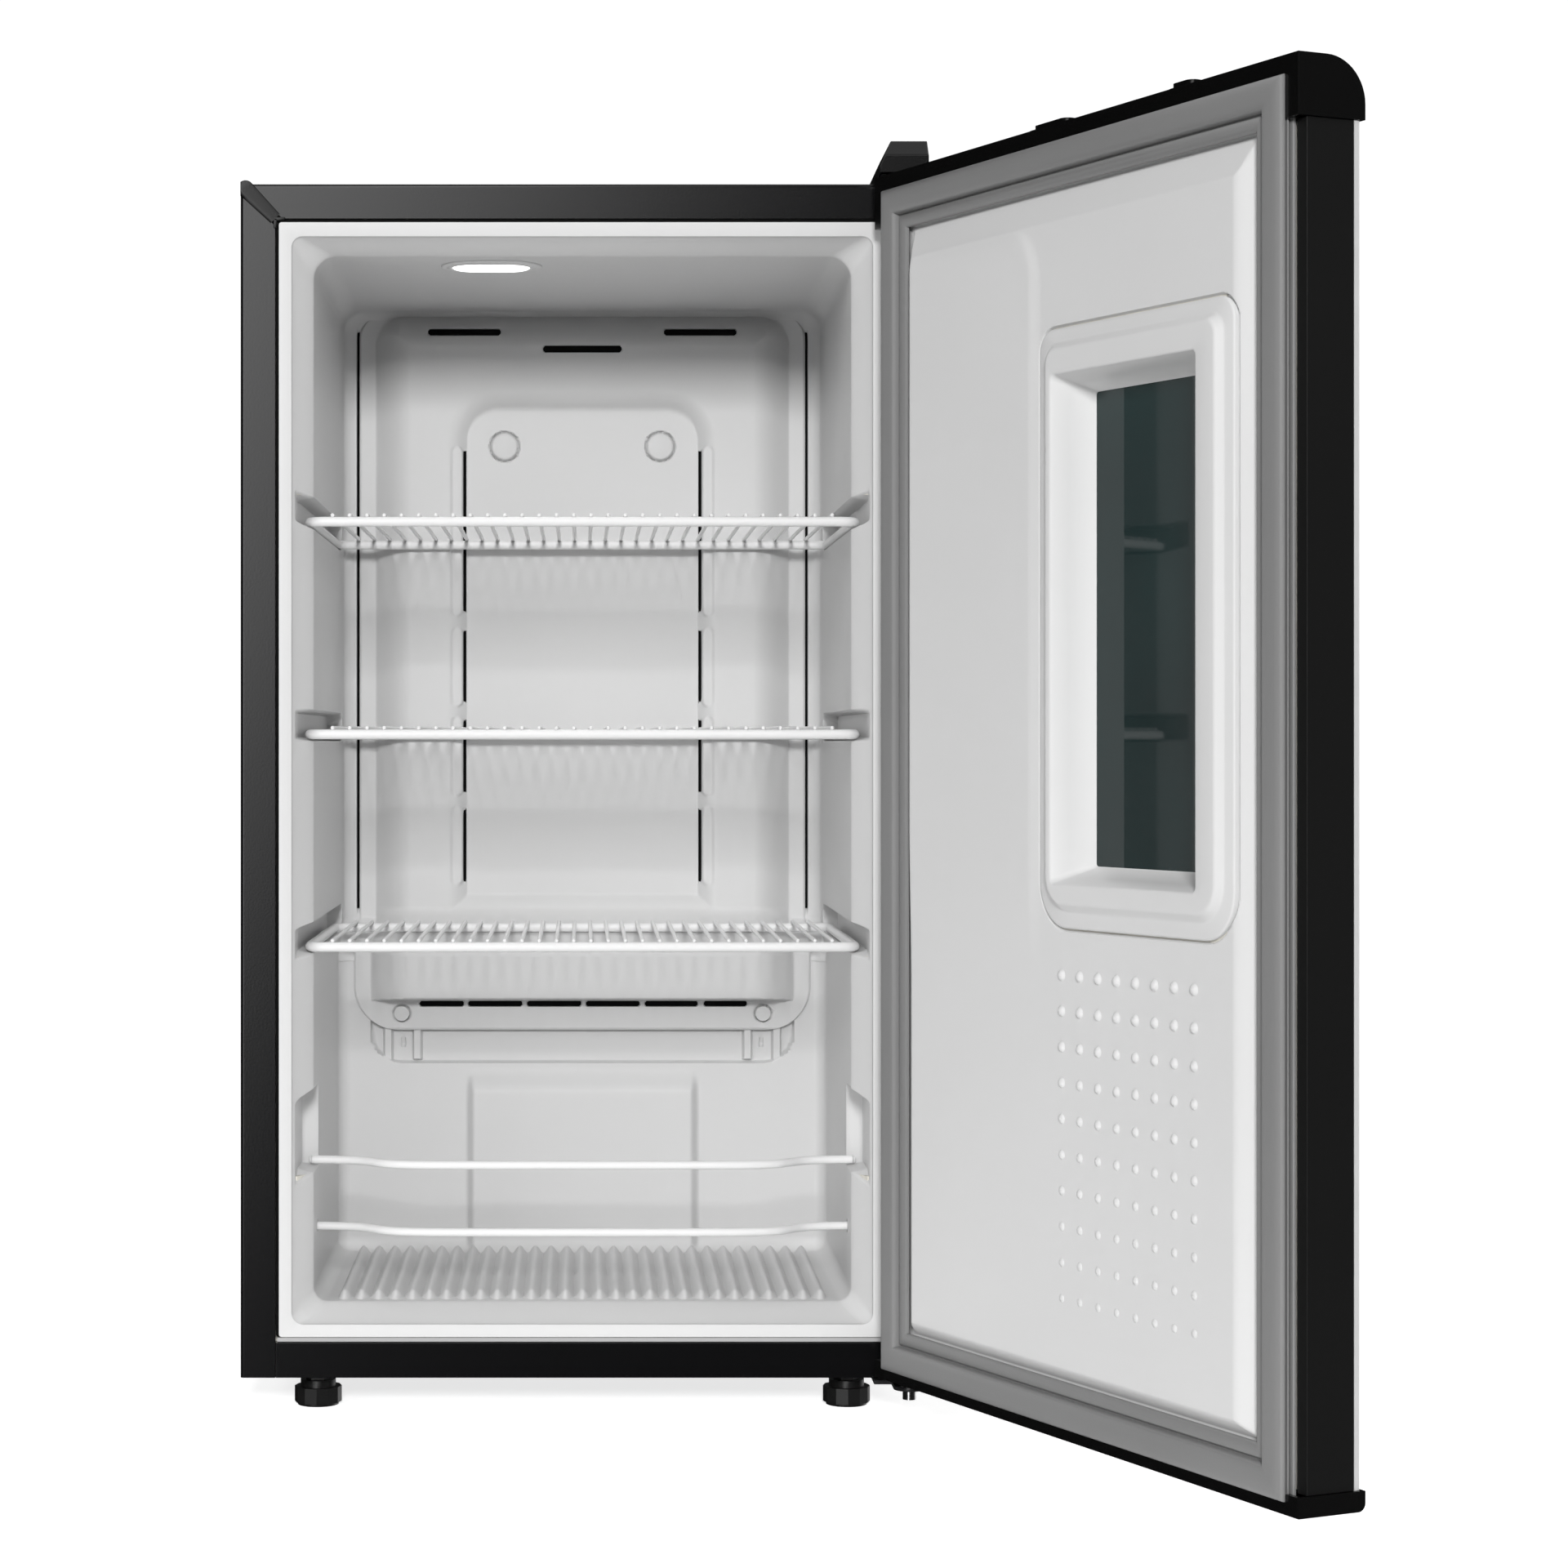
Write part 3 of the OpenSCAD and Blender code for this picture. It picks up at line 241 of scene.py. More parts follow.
def rounded_loop(x0, x1, z0, z1, radii, steps):
    """Corner-rounded rectangle, as (x, z) points.

    The radii are those of the lower left, lower right, upper right and upper left corner; one
    number does for all four.
    """
    if isinstance(radii, float):
        radii = (radii,) * 4
    corners = [(x0, z0, 1, 1, 180), (x1, z0, -1, 1, 270), (x1, z1, -1, -1, 0), (x0, z1, 1, -1, 90)]
    out = []
    for (x, z, sx, sz, first), r in zip(corners, radii):
        for k in range(steps + 1):
            a = math.radians(first + 90.0 * k / steps)
            out.append((x + sx * r + r * math.cos(a), z + sz * r + r * math.sin(a)))
    return out


def loft(loops, close_last=False):
    """Loops of equal length, each a list of 3-D points, joined into one sheet."""
    n = len(loops[0])
    verts = [p for loop in loops for p in loop]
    faces = []
    for i in range(len(loops) - 1):
        for k in range(n):
            a, b = i * n, (i + 1) * n
            faces.append((a + k, a + (k + 1) % n, b + (k + 1) % n, b + k))
    if close_last:
        faces.append(tuple((len(loops) - 1) * n + k for k in range(n)))
    return verts, faces


# ---- materials ---------------------------------------------------------------------------------
def node_material(name, base, rough, metallic=0.0, bump=0.0, bump_scale=300.0, mottle=0.03,
                  mottle_scale=6.0, rough_spread=0.05, coat=0.0, stretch=(1, 1, 1), specular=0.5,
                  second=None, emission=0.0):
    """Principled surface whose colour, roughness and fine relief come from noise in object space.

    A base that is one number is a grey. second is the colour of the lighter patches.
    """
    if isinstance(base, float):
        base = (base, base, base)
    mat = bpy.data.materials.new(name)
    mat.use_nodes = True
    nt = mat.node_tree
    bsdf = nt.nodes["Principled BSDF"]
    bsdf.inputs["Metallic"].default_value = metallic
    bsdf.inputs["Coat Weight"].default_value = coat
    bsdf.inputs["Coat Roughness"].default_value = COAT_ROUGH
    bsdf.inputs["Specular IOR Level"].default_value = specular
    coords = nt.nodes.new("ShaderNodeTexCoord")
    place = nt.nodes.new("ShaderNodeMapping")
    place.inputs["Scale"].default_value = stretch
    nt.links.new(coords.outputs["Object"], place.inputs["Vector"])
    broad = nt.nodes.new("ShaderNodeTexNoise")
    broad.inputs["Scale"].default_value = mottle_scale
    broad.inputs["Detail"].default_value = 3.0
    nt.links.new(place.outputs["Vector"], broad.inputs["Vector"])
    ramp = nt.nodes.new("ShaderNodeValToRGB")
    ramp.color_ramp.elements[0].position = 0.3
    ramp.color_ramp.elements[1].position = 0.7
    dark = [max(0.0, c * (1.0 - mottle)) for c in base]
    light = [min(1.0, c * (1.0 + mottle)) for c in (second or base)]
    ramp.color_ramp.elements[0].color = (*dark, 1.0)
    ramp.color_ramp.elements[1].color = (*light, 1.0)
    nt.links.new(broad.outputs["Fac"], ramp.inputs["Fac"])
    nt.links.new(ramp.outputs["Color"], bsdf.inputs["Base Color"])
    fine = nt.nodes.new("ShaderNodeTexNoise")
    fine.inputs["Scale"].default_value = bump_scale
    fine.inputs["Detail"].default_value = 4.0
    nt.links.new(place.outputs["Vector"], fine.inputs["Vector"])
    spread = nt.nodes.new("ShaderNodeMapRange")
    spread.inputs["To Min"].default_value = max(0.02, rough - rough_spread)
    spread.inputs["To Max"].default_value = min(1.0, rough + rough_spread)
    nt.links.new(fine.outputs["Fac"], spread.inputs["Value"])
    nt.links.new(spread.outputs["Result"], bsdf.inputs["Roughness"])
    if bump:
        lift = nt.nodes.new("ShaderNodeBump")
        lift.inputs["Strength"].default_value = bump
        lift.inputs["Distance"].default_value = RELIEF
        nt.links.new(fine.outputs["Fac"], lift.inputs["Height"])
        nt.links.new(lift.outputs["Normal"], bsdf.inputs["Normal"])
    if emission:
        bsdf.inputs["Emission Color"].default_value = (1.0, 1.0, 1.0, 1.0)
        bsdf.inputs["Emission Strength"].default_value = emission
    return mat


# white and grey plastics
LINER = node_material("liner_plastic", 0.60, 0.42, bump=0.10, bump_scale=900, mottle=0.012)
DOOR_WHITE = node_material("door_plastic", 0.64, 0.40, bump=0.08, bump_scale=900, mottle=0.012)
COVER = node_material("cover_plastic", 0.61, 0.45, bump=0.10, bump_scale=900, mottle=0.012)
GASKET = node_material("gasket_rubber", 0.205, 0.55, bump=0.12, bump_scale=800)
GREY = node_material("grey_plastic", 0.36, 0.5, bump=0.15, bump_scale=900)
COAT = node_material("shelf_coating", 0.72, 0.30, bump=0.10, bump_scale=1500, mottle=0.015,
                     coat=0.2)
SCREW = node_material("coated_screw", 0.60, 0.4, bump=0.1, bump_scale=900)
FOAM = node_material("foam", (0.66, 0.64, 0.58), 0.9, bump=0.6, bump_scale=500, mottle=0.15,
                     mottle_scale=40)
# black surfaces, from the glossy paint to the dull black of the painted-shade sheets
PAINT = node_material("frame_paint", (0.003, 0.003, 0.0033), 0.15, bump=0.05, bump_scale=700,
                      mottle=0.06)
TRIM = node_material("trim_plastic", 0.003, 0.22, bump=0.06, bump_scale=900, mottle=0.05,
                     specular=0.34)
CAP = node_material("cap_plastic", 0.003, 0.20, bump=0.08, bump_scale=1100, mottle=0.05,
                    specular=0.34)
SIDE = node_material("side_profile", 0.006, 0.40, bump=0.12, bump_scale=1200, mottle=0.05,
                     specular=0.3)
FOOT = node_material("foot_plastic", 0.008, 0.35, bump=0.15, bump_scale=900, mottle=0.06)
BLACK = node_material("black_plastic", 0.012, 0.5, bump=0.2, bump_scale=900, mottle=0.06)
DARK = node_material("dark_metal", (0.012, 0.012, 0.013), 0.35, bump=0.25, bump_scale=500,
                     mottle=0.1, coat=0.2)
RUBBER = node_material("rubber", 0.02, 0.8, bump=0.3, bump_scale=700)
# painted shade: dull black for the sheets that stand in for the shadow behind the slots and in the
# gaps
SHADE_BLACK = node_material("painted_shade_black", 0.004, 0.8, bump=0.1, bump_scale=900, mottle=0.05,
                     specular=0.1)
# metals
SILVER = node_material("brushed_front", 0.66, 0.34, metallic=0.35, bump=0.2, bump_scale=160,
                       mottle=0.02, stretch=(1, 1, 14))
ZINC = node_material("zinc_sheet", (0.42, 0.43, 0.44), 0.42, metallic=0.9, bump=0.1,
                     bump_scale=200, mottle=0.15, mottle_scale=60)
BRIGHT = node_material("bright_steel", (0.62, 0.62, 0.63), 0.22, metallic=1.0, bump=0.1,
                       bump_scale=900, mottle=0.05)
ALU = node_material("aluminium", (0.70, 0.71, 0.72), 0.35, metallic=0.95, bump=0.1,
                    bump_scale=400, mottle=0.06)
COPPER = node_material("copper", (0.62, 0.30, 0.18), 0.3, metallic=1.0, bump=0.1, mottle=0.12,
                       mottle_scale=30)
# the rest
BOARD = node_material("board", (0.08, 0.22, 0.10), 0.4, bump=0.1, bump_scale=400)
LENS = node_material("lamp_lens", 0.95, 0.3, bump=0.05, bump_scale=400, mottle=0.01,
                     emission=2.2)
GLASS = node_material("smoked_glass", (0.004, 0.015, 0.015), 0.03, mottle=0.25, mottle_scale=3,
                      rough_spread=0.01, specular=0.42, second=(0.006, 0.023, 0.023))

NODE_MATERIALS = {
    PAINT: "left_panel right_panel top_panel front_rail",
    CAP: "corner_trims hinge_cover door_top_cap door_low_cap window_trim cap_plugs",
    SIDE: "door_side_free door_side_hinge",
    SILVER: "door_skin",
    ZINC: "back_panel base_pan compressor_plate hinge_upper",
    GREY: "sill_strip drain_tube control_box",
    FOAM: "cabinet_foam door_foam",
    LINER: "inner_liner",
    COVER: "evaporator_cover cover_caps",
    DOOR_WHITE: "door_liner window_bezel lamp_base hinge_bushes",
    GASKET: "door_gasket",
    GLASS: "glass_inner glass_outer",
    ALU: "evaporator_fins evaporator_tube glass_spacer",
    SCREW: "cover_screws",
    BRIGHT: "hinge_screws hinge_lower_pin",
    COAT: "shelf_upper shelf_middle shelf_lower guard_upper guard_lower",
    BLACK: "fan_frame fan_blades drip_tray relay_cover mains_gland",
    DARK: "fan_motor compressor condenser hinge_lower",
    RUBBER: "compressor_grommets",
    COPPER: "filter_drier refrigerant_pipe",
    FOOT: "foot_left foot_right rear_feet",
    BOARD: "lamp_board",
    LENS: "lamp_lens",
}
for material, nodes in NODE_MATERIALS.items():
    for node in nodes.split():
        slots = NODES[node].data.materials
        slots.clear()
        slots.append(material)

# rounding of the CAD pieces' edges, in millimetres
SOFT_EDGES = {
    "left_panel": 0.2, "top_panel": 0.2, "right_panel": 0.2, "front_rail": 0.4, "sill_strip": 0.5,
    "door_top_cap": 1.0, "door_low_cap": 1.0, "cap_plugs": 0.9, "door_side_free": 1.3,
    "door_side_hinge": 1.3, "window_trim": 0.6, "hinge_cover": 1.6, "hinge_lower": 0.5,
    "foot_left": 0.8, "foot_right": 0.8, "cover_screws": 0.5,
}
for node, width in SOFT_EDGES.items():
    obj = NODES[node]
    weld = obj.modifiers.new("weld", "WELD")
    weld.merge_threshold = WELD
    bevel = obj.modifiers.new("soft_edges", "BEVEL")
    bevel.width = width * MM
    bevel.segments = 3
    bevel.limit_method = "ANGLE"
    bevel.angle_limit = math.radians(SHARP)
    bevel.harden_normals = True


# ---- inner liner -------------------------------------------------------------------------------
def section_half(y):
    """Half width, lower and upper edge, and corner radius of the compartment at depth y."""
    t = smooth(-3.0, MOUTH_D + 3.0, y) * 0.35 + np.clip(np.asarray(y, float) / MOUTH_D, 0, 1) * 0.65
    return (MOUTH_X + (ROOM_X - MOUTH_X) * t, MOUTH_Z0 + (ROOM_Z0 - MOUTH_Z0) * t,
            MOUTH_Z1 + (ROOM_Z1 - MOUTH_Z1) * t, 7.0 + 9.0 * t)


def back_depth(x, z):
    """Depth of the liner's rear wall."""
    x, z = np.abs(np.asarray(x, float)), np.asarray(z, float)
    d = LOW_Y + (HIGH_Y - LOW_Y) * smooth(LEDGE_Z0 - 3, LEDGE_Z1 + 3, z)
    # raised panel low in the middle
    d = d - 8.0 * (1 - smooth(84.0, 91.0, x)) * (1 - smooth(197.0, 216.0, z))
    # round-cornered pocket under the ledge, with two pairs of ribs and two screw holes
    away = np.hypot(np.maximum(x - 141.0, 0.0), np.maximum(245.0 - z, 0.0)) - 24.0
    pocket = (1 - smooth(-0.9, 0.9, away)) * (1 - smooth(LEDGE_Z0 - 6, LEDGE_Z0 - 2, z))
    rib = np.zeros_like(d)
    for a, b in ((125.6, 132.4), (148.4, 155.2)):
        across = smooth(a - 0.5, a + 0.9, x) * (1 - smooth(b - 0.9, b + 0.5, x))
        rib = np.maximum(rib, across * smooth(221.5, 223.5, z))
    d = d + 6.0 * pocket * (1 - 0.85 * rib * (1 - smooth(268.0, 275.0, z)))
    hole = 1 - smooth(1.2, 2.2, np.hypot(x - 140.0, z - 235.0))
    # the joint beside the evaporator cover
    joint = (smooth(177.4, 178.0, x) * (1 - smooth(180.6, 181.2, x))
             * smooth(333.0, 339.0, z) * (1 - smooth(795.0, 802.0, z)))
    return d + 3.0 * hole + 6.0 * joint


def side_depth(y, z):
    """How far the side walls are pushed outward by the shelf grooves and guard seats."""
    y, z = np.asarray(y, float), np.asarray(z, float)
    out = np.zeros(np.broadcast(y, z).shape)
    for z0, z1 in GROOVES:
        mid, half = (z0 + z1) / 2, (z1 - z0) / 2
        dy = np.maximum(y - (GROOVE_END - half), 0.0)
        d = np.hypot(dy, z - mid) - half
        out = np.maximum(out, 1 - smooth(-1.6, 1.4, d))
    seat = smooth(165.8, 168.6, z) * (1 - smooth(221.5, 225.5, z)) * (1 - smooth(62.0, 68.0, y))
    out = np.maximum(out, seat)
    # shallow hole that takes the lower guard's end
    hole = 1 - smooth(3.2, 4.8, np.hypot(y - 60.0, z - GUARDS[1][1]))
    return np.maximum(out, 0.75 * hole)


def fillet(px, py, pz, deep):
    """Points of the compartment's square walls, moved onto its rounded corners and rear edge."""
    half, lo, hi, corner = section_half(py)
    # tighter corners low down
    corner = np.where(pz < 300, np.minimum(corner, 10.0), corner)
    qx = np.clip(px, -half + corner, half - corner)
    qz = np.clip(pz, lo + corner, hi - corner)
    qy = np.minimum(py, deep - REAR_R)
    dx, dy, dz = px - qx, py - qy, pz - qz
    nx, ny, nz = dx / corner, dy / REAR_R, dz / corner
    n = np.sqrt(nx * nx + ny * ny + nz * nz)
    k = np.where(n > 1.0, 1.0 / np.maximum(n, 1e-9), 1.0)
    return qx + dx * k, qy + dy * k, qz + dz * k


def to_depth(y, deep):
    """Depths past the start stretched so that HIGH_Y lands on the rear wall."""
    start = 200
    return np.where(y > start, start + (y - start) / (HIGH_Y - start) * (deep - start), y)


def floor_ridges():
    """The scalloped sheet laid in the floor."""
    span = RIDGES * RIDGE_PITCH / 2
    fx = lines((-span, span, RIDGE_PITCH / 10))
    fy = lines((26, 50, 1.6), (50, 240, 9.0), (240, 266, 2.0))
    Y, X = np.meshgrid(fy, fx, indexing="ij")
    wave = 0.5 + 0.5 * np.cos(2 * math.pi * X / RIDGE_PITCH)
    crest = wave ** 0.75
    rise = (smooth(27.0, 40.0, Y - 5.0 * (1 - wave))
            * (1 - smooth(250.0, 262.0, Y + 3.0 * (1 - wave))))
    border = smooth(-span, -span + 3, X) * (1 - smooth(span - 3, span, X))
    return sheet(X, Y, ROOM_Z0 - 1.6 + (1.7 + RIDGE_H * crest) * rise * border)


def front_lip():
    """Loops from the lip's outer edge over its flat face to the mouth."""
    n = 8
    # the lip stops short of the frame by the width of the painted-shade ring
    outer = rounded_loop(-LIP_X + SHADE_RING_W, LIP_X - SHADE_RING_W, LIP_Z0, LIP_Z1 - SHADE_RING_W, 2.0, n)
    loops = [[(x, y, z) for x, z in outer] for y in (2.2, 0.35)]
    for grow, y, low_r, top_r in ((0.9, 0.35, 9, 8.5), (0.2, 0.75, 8.4, 7.6), (-0.15, 2.0, 8, 7.2)):
        loop = rounded_loop(-MOUTH_X - grow, MOUTH_X + grow, MOUTH_Z0 - grow, MOUTH_Z1 + grow,
                            (low_r, low_r, top_r, top_r), n)
        loops.append([(x, y, z) for x, z in loop])
    return loft(loops)


def build_liner():
    """The moulded compartment: walls, floor, ceiling, rear wall, front lip and floor ridges."""
    ys = lines((0.3, 4, 1.0), (4, MOUTH_D + 6, 1.6), (MOUTH_D + 6, 270, 5.0), (52, 70, 1.2),
               (284, 310, 1.3), (300, HIGH_Y, 2.6))
    zs = lines((ROOM_Z0, ROOM_Z1, 5.0), (ROOM_Z0, ROOM_Z0 + 12, 1.6), (ROOM_Z1 - 18, ROOM_Z1, 1.8),
               (116, 130, 1.1), (163, 171, 0.8), (194, 236, 2.0), (219, 227, 0.9), (300, 332, 2.0),
               *[(a - 3, a + 3, 0.8) for g in GROOVES for a in g])
    xs = mirror(lines((0, ROOM_X, 6.0), (177, 181.8, 0.4), (82, 93, 1.2), (123, 158, 0.95),
                      (150, 172, 1.6), (ROOM_X - 18, ROOM_X, 1.7)))
    parts = []
    # side walls
    Y, Z = np.meshgrid(ys, zs, indexing="ij")
    half, lo, hi, _ = section_half(Y)
    level = lo + (Z - ROOM_Z0) / (ROOM_Z1 - ROOM_Z0) * (hi - lo)
    for s in (-1, 1):
        deep = back_depth(np.full_like(Z, s * ROOM_X), Z)
        wall_y = to_depth(Y, deep)
        x, y, z = fillet(s * half, wall_y, level, deep)
        push = side_depth(wall_y, Z) * np.maximum(GROOVE_X - half, 0.0)
        edge = np.clip((np.abs(x) - (half - 6)) / 6.0, 0, 1)
        parts.append(sheet(x + s * push * edge, y, z))
    # floor and ceiling
    Y, X = np.meshgrid(ys, xs, indexing="ij")
    for is_top, plain in ((False, ROOM_Z0), (True, ROOM_Z1)):
        deep = back_depth(X, np.full_like(X, plain))
        wall_y = to_depth(Y, deep)
        half, lo, hi, _ = section_half(wall_y)
        parts.append(sheet(*fillet(X / ROOM_X * half, wall_y, hi if is_top else lo, deep)))
    # rear wall
    X, Z = np.meshgrid(xs, zs, indexing="ij")
    deep = back_depth(X, Z)
    parts.append(sheet(*fillet(X, deep, Z, deep)))
    parts += [front_lip(), floor_ridges()]
    v, f = join(parts)
    make("moulded_liner", v, f, "cabinet", LINER, ["inner_liner"])


# ---- evaporator cover --------------------------------------------------------------------------
def cover_depth(x, z, cut=1.0):
    """Depth of the cover's front surface, and which places are open air slots (none with cut 0)."""
    ax = np.abs(x)
    base = LOW_Y - 2.1 + (HIGH_Y - LOW_Y) * smooth(LEDGE_Z0 + 1, LEDGE_Z1 + 4, z)
    front = COVER_LOW_Y + (COVER_Y - COVER_LOW_Y) * smooth(306.0, 340.0, z)
    # the face rises from the flange along the sides and the top
    side = np.clip((ax - 136.0) / 29.0, 0, 1)
    top = np.clip((z - 785.0) / 27.0, 0, 1)
    away = np.hypot(np.maximum(side - 0.12, 0), np.maximum(top - 0.12, 0)) / 0.88
    away = np.maximum(np.clip(away, 0, 1), np.maximum(side, top) * 0.999)
    body = np.minimum(1 - np.clip(away, 0, 1) ** 1.75, smooth(268.8, 272.4, z))
    y = base + (front - base) * body
    # tombstone recess: a rounded shoulder that ends in a crisp inner edge
    arch = np.hypot(np.maximum(ax - 67.0, 0.0), np.maximum(z - 711.0, 0.0)) - 25.0
    out = np.maximum(np.where(z > 711.0, arch, ax - 92.0), 349.0 - z)
    y = y + 12.0 * (1 - np.clip(out / 15.0, 0, 1)) ** 1.9 * body
    slots = np.zeros(y.shape, bool)
    # louvre pads on the recess's side walls, each with a slot beside it
    for z0, z1 in PADS:
        mid, half = (z0 + z1) / 2, (z1 - z0) / 2
        dz = np.abs(z - mid)
        d = np.hypot(ax - PAD_X, np.maximum(dz - (half - PAD_R), 0.0)) - PAD_R
        pad = 1 - smooth(-0.9, 0.5, d)
        y = y + (COVER_Y + 2.6 - y) * pad
        slot = 1 - smooth(0.9, 1.2, np.abs(ax - SLOT_X))
        slot = slot * (1 - smooth(half - 4.0, half - 3.0, dz))
        y = y + 8.0 * slot * cut
        slots |= slot > 0.9
    # air slots in the top slope and the foot
    for cx, half, cz, r in TOP_SLOTS:
        d = np.hypot(np.maximum(np.abs(x - cx) - (half - r), 0.0), z - cz) - r
        slot = 1 - smooth(-0.3, 0.4, d)
        y = y + 8.0 * slot * cut
        slots |= slot > 0.9
    for a, b in FOOT_SLOTS:
        dx = np.abs(x - (a + b) / 2) - ((b - a) / 2 - FOOT_SLOT_R)
        d = np.hypot(np.maximum(dx, 0.0), z - FOOT_SLOT_Z) - FOOT_SLOT_R
        slot = 1 - smooth(-0.3, 0.3, d)
        y = y + 6.0 * slot * cut
        slots |= slot > 0.9
    # domed caps in rings, and dishes for the screws
    d = np.hypot(ax - CAP_AT[0], z - CAP_AT[1])
    y = y + 3.4 * (smooth(10.7, 11.3, d) - smooth(11.9, 12.5, d))
    y = y - 3.4 * (1 - smooth(9.9, 11.0, d)) * (1 - 0.4 * (d / 11.0) ** 2)
    d = np.hypot(ax - SCREW_AT[0], z - SCREW_AT[1])
    y = y + 1.0 * (1 - smooth(6.6, 7.6, d)) + 2.0 * (smooth(5.2, 5.8, d) - smooth(6.4, 7.0, d))
    return y, slots


def build_cover():
    """The evaporator cover, with its caps."""
    fine = 0.68
    xs = mirror(lines((0, COVER_X, 4.0), (30, 95, 2.4), (26, 34, 0.7), (60, 68, 0.8),
                      (119, 126, 0.8), (88, 108, 0.6), (130, 170, 2.0), (174, COVER_X, 0.8),
                      (132, 150, 1.0), (41, 51, 0.8), (0, 5, 0.8), (86, 98, 0.7), (124, 131, 0.8),
                      (48, 76, 0.9), (91.5, 105, 0.5), (162, 167, 0.8), gap=fine))
    zs = lines((692, 721, 0.9), (264, 270, 0.5), (COVER_Z0, COVER_Z1, 4.0), (COVER_Z0, 276, 0.8),
               (300, 345, 2.0), (334, 362, 1.6), (418, 432, 1.0), (489, 502, 1.0),
               (560, 574, 1.0), (700, 760, 2.0), (704, 710, 1.0), (776, COVER_Z1, 1.0),
               (779, 788, 0.6), (792, 800, 0.6), gap=fine)
    X, Z = np.meshgrid(xs, zs, indexing="ij")
    # rounded outline of the flange: squeeze the grid into it near the corners
    W = np.full_like(Z, COVER_X)
    for r, past in ((COVER_TOP_R, Z - (COVER_Z1 - COVER_TOP_R)),
                    (COVER_LOW_R, (COVER_Z0 + COVER_LOW_R) - Z)):
        W = W - r * (1 - np.sqrt(np.maximum(1 - np.clip(past / r, 0, 1) ** 2, 0.0)))
    fixed = 128                             # the middle, out to here, keeps its width
    share = (np.abs(X) - fixed) / (COVER_X - fixed)
    Xs = np.where(np.abs(X) > fixed, np.sign(X) * (fixed + share * (W - fixed)), X)
    Y, slots = cover_depth(Xs, Z)
    keep = ~(slots[:-1, :-1] & slots[1:, :-1] & slots[:-1, 1:] & slots[1:, 1:])
    # rolled outer edge
    near = np.minimum(np.minimum(W - np.abs(Xs), Z - COVER_Z0), COVER_Z1 - Z)
    Y = Y + 1.9 * (1 - smooth(0.0, 1.6, near))
    v, f = sheet(Xs, Y, Z, keep)
    make("moulded_cover", v, f, "cabinet", COVER, ["evaporator_cover", "cover_caps"],
         angle=60)


def build_painted_shade_sheets():
    """Painted shade: dark sheets behind the cover's slots, in the joints beside the cover and round
    the lip, standing in for the shadow in these gaps.
    """
    # painted shade behind the slots: a dark sheet just behind each slot stands in for the shadow
    # inside it
    boxes = [(s * SLOT_X - 1.4, s * SLOT_X + 1.4, z0 + 2.6, z1 - 2.6)
             for s in (-1, 1) for z0, z1 in PADS]
    boxes += [(-31.4, 31.4, 780.2, 785.8), (64.6, 122.9, 794.5, 799.5),
              (-122.9, -64.6, 794.5, 799.5)]
    boxes += [(a, b, 264.4, 268.8) for a, b in FOOT_SLOTS]
    parts = []
    for x0, x1, z0, z1 in boxes:
        X, Z = np.meshgrid(lines((x0, x1, 1.5)), lines((z0, z1, 1.5)), indexing="ij")
        Y = cover_depth(X, Z, 0.0)[0]
        parts.append(sheet(X, np.maximum(Y, np.median(Y)) + 2.0, Z))
    # painted shade in the joints beside the cover: a dark strip behind each trench stands in for
    # its shadow
    X, Z = np.meshgrid(lines((*JOINT_SHADE_X, 1.0)), lines((338.0, 799.5, 8.0)), indexing="ij")
    for s in (-1, 1):
        parts.append(sheet(s * X, np.full_like(X, HIGH_Y + 1.6), Z))
    # painted shade round the lip: a dark ring in the gap between the lip and the frame stands in
    # for its shadow
    parts.append(loft([
        [(x, 1.3, z) for x, z in rounded_loop(-LIP_X + g, LIP_X - g, LIP_Z0, LIP_Z1 - g, 2.0, 4)]
        for g in (0.0, SHADE_RING_W + 0.3)]))
    v, f = join(parts)
    make("painted_shade_sheets", v, f, "cabinet", SHADE_BLACK)


# ---- shelves and guards ------------------------------------------------------------------------
def build_shelf(node, body, z, y0, y1):
    """A closed rail with cross wires lying on it."""
    x = SHELF_X - RAIL_R
    loop = [(a, b, z) for a, b in rounded_loop(-x, x, y0, y1, 11.0, 8)]
    path = []
    for p, q in zip(loop, loop[1:] + loop[:1]):
        path.append(p)
        n = int(math.dist(p, q) // 40)
        for j in range(1, n + 1):
            t = j / (n + 1)
            path.append(tuple(a + (b - a) * t for a, b in zip(p, q)))
    clean = [path[0]]
    for p in path[1:]:
        if math.dist(p, clean[-1]) > 0.01:
            clean.append(p)
    parts = [tube(clean, RAIL_R, 20, closed=True)]
    wz = z + RAIL_R + WIRE_R - 0.5
    for i in range(WIRES):
        wx = (i - (WIRES - 1) / 2) * WIRE_PITCH
        wire = [(wx, y, wz) for y in (y0 - 2.4, y0 + 20, y1 - 20, y1 + 2.4)]
        parts.append(tube(wire, WIRE_R, 12))
    v, f = join(parts)
    make(node + "_wires", v, f, body, COAT, [node], angle=60)


def build_guard(node, body, z):
    """A bottle guard: a wire bowed toward the front, its ends in the side walls."""
    bow = [(0, 26), (60, 26), (100, 26.6), (118, 28), (130, 30.2), (138, 33.4), (144, 38),
           (149, 43.6), (154, 49), (160, 53.4), (168, 56.6), (180, 58.8), (197, 60)]
    xs = np.unique(np.concatenate([np.linspace(0, 110, 6), np.linspace(110, 197, 40)]))
    ys = np.interp(xs, *np.array(bow, float).T)
    for _ in range(3):
        ys[1:-1] = 0.25 * ys[:-2] + 0.5 * ys[1:-1] + 0.25 * ys[2:]
    right = [(a, b, z) for a, b in zip(xs, ys)]
    left = [(-a, b, z) for a, b in zip(xs[:0:-1], ys[:0:-1])]
    v, f = tube(left + right, GUARD_R, 20)
    make(node + "_wire", v, f, body, COAT, [node], angle=60)


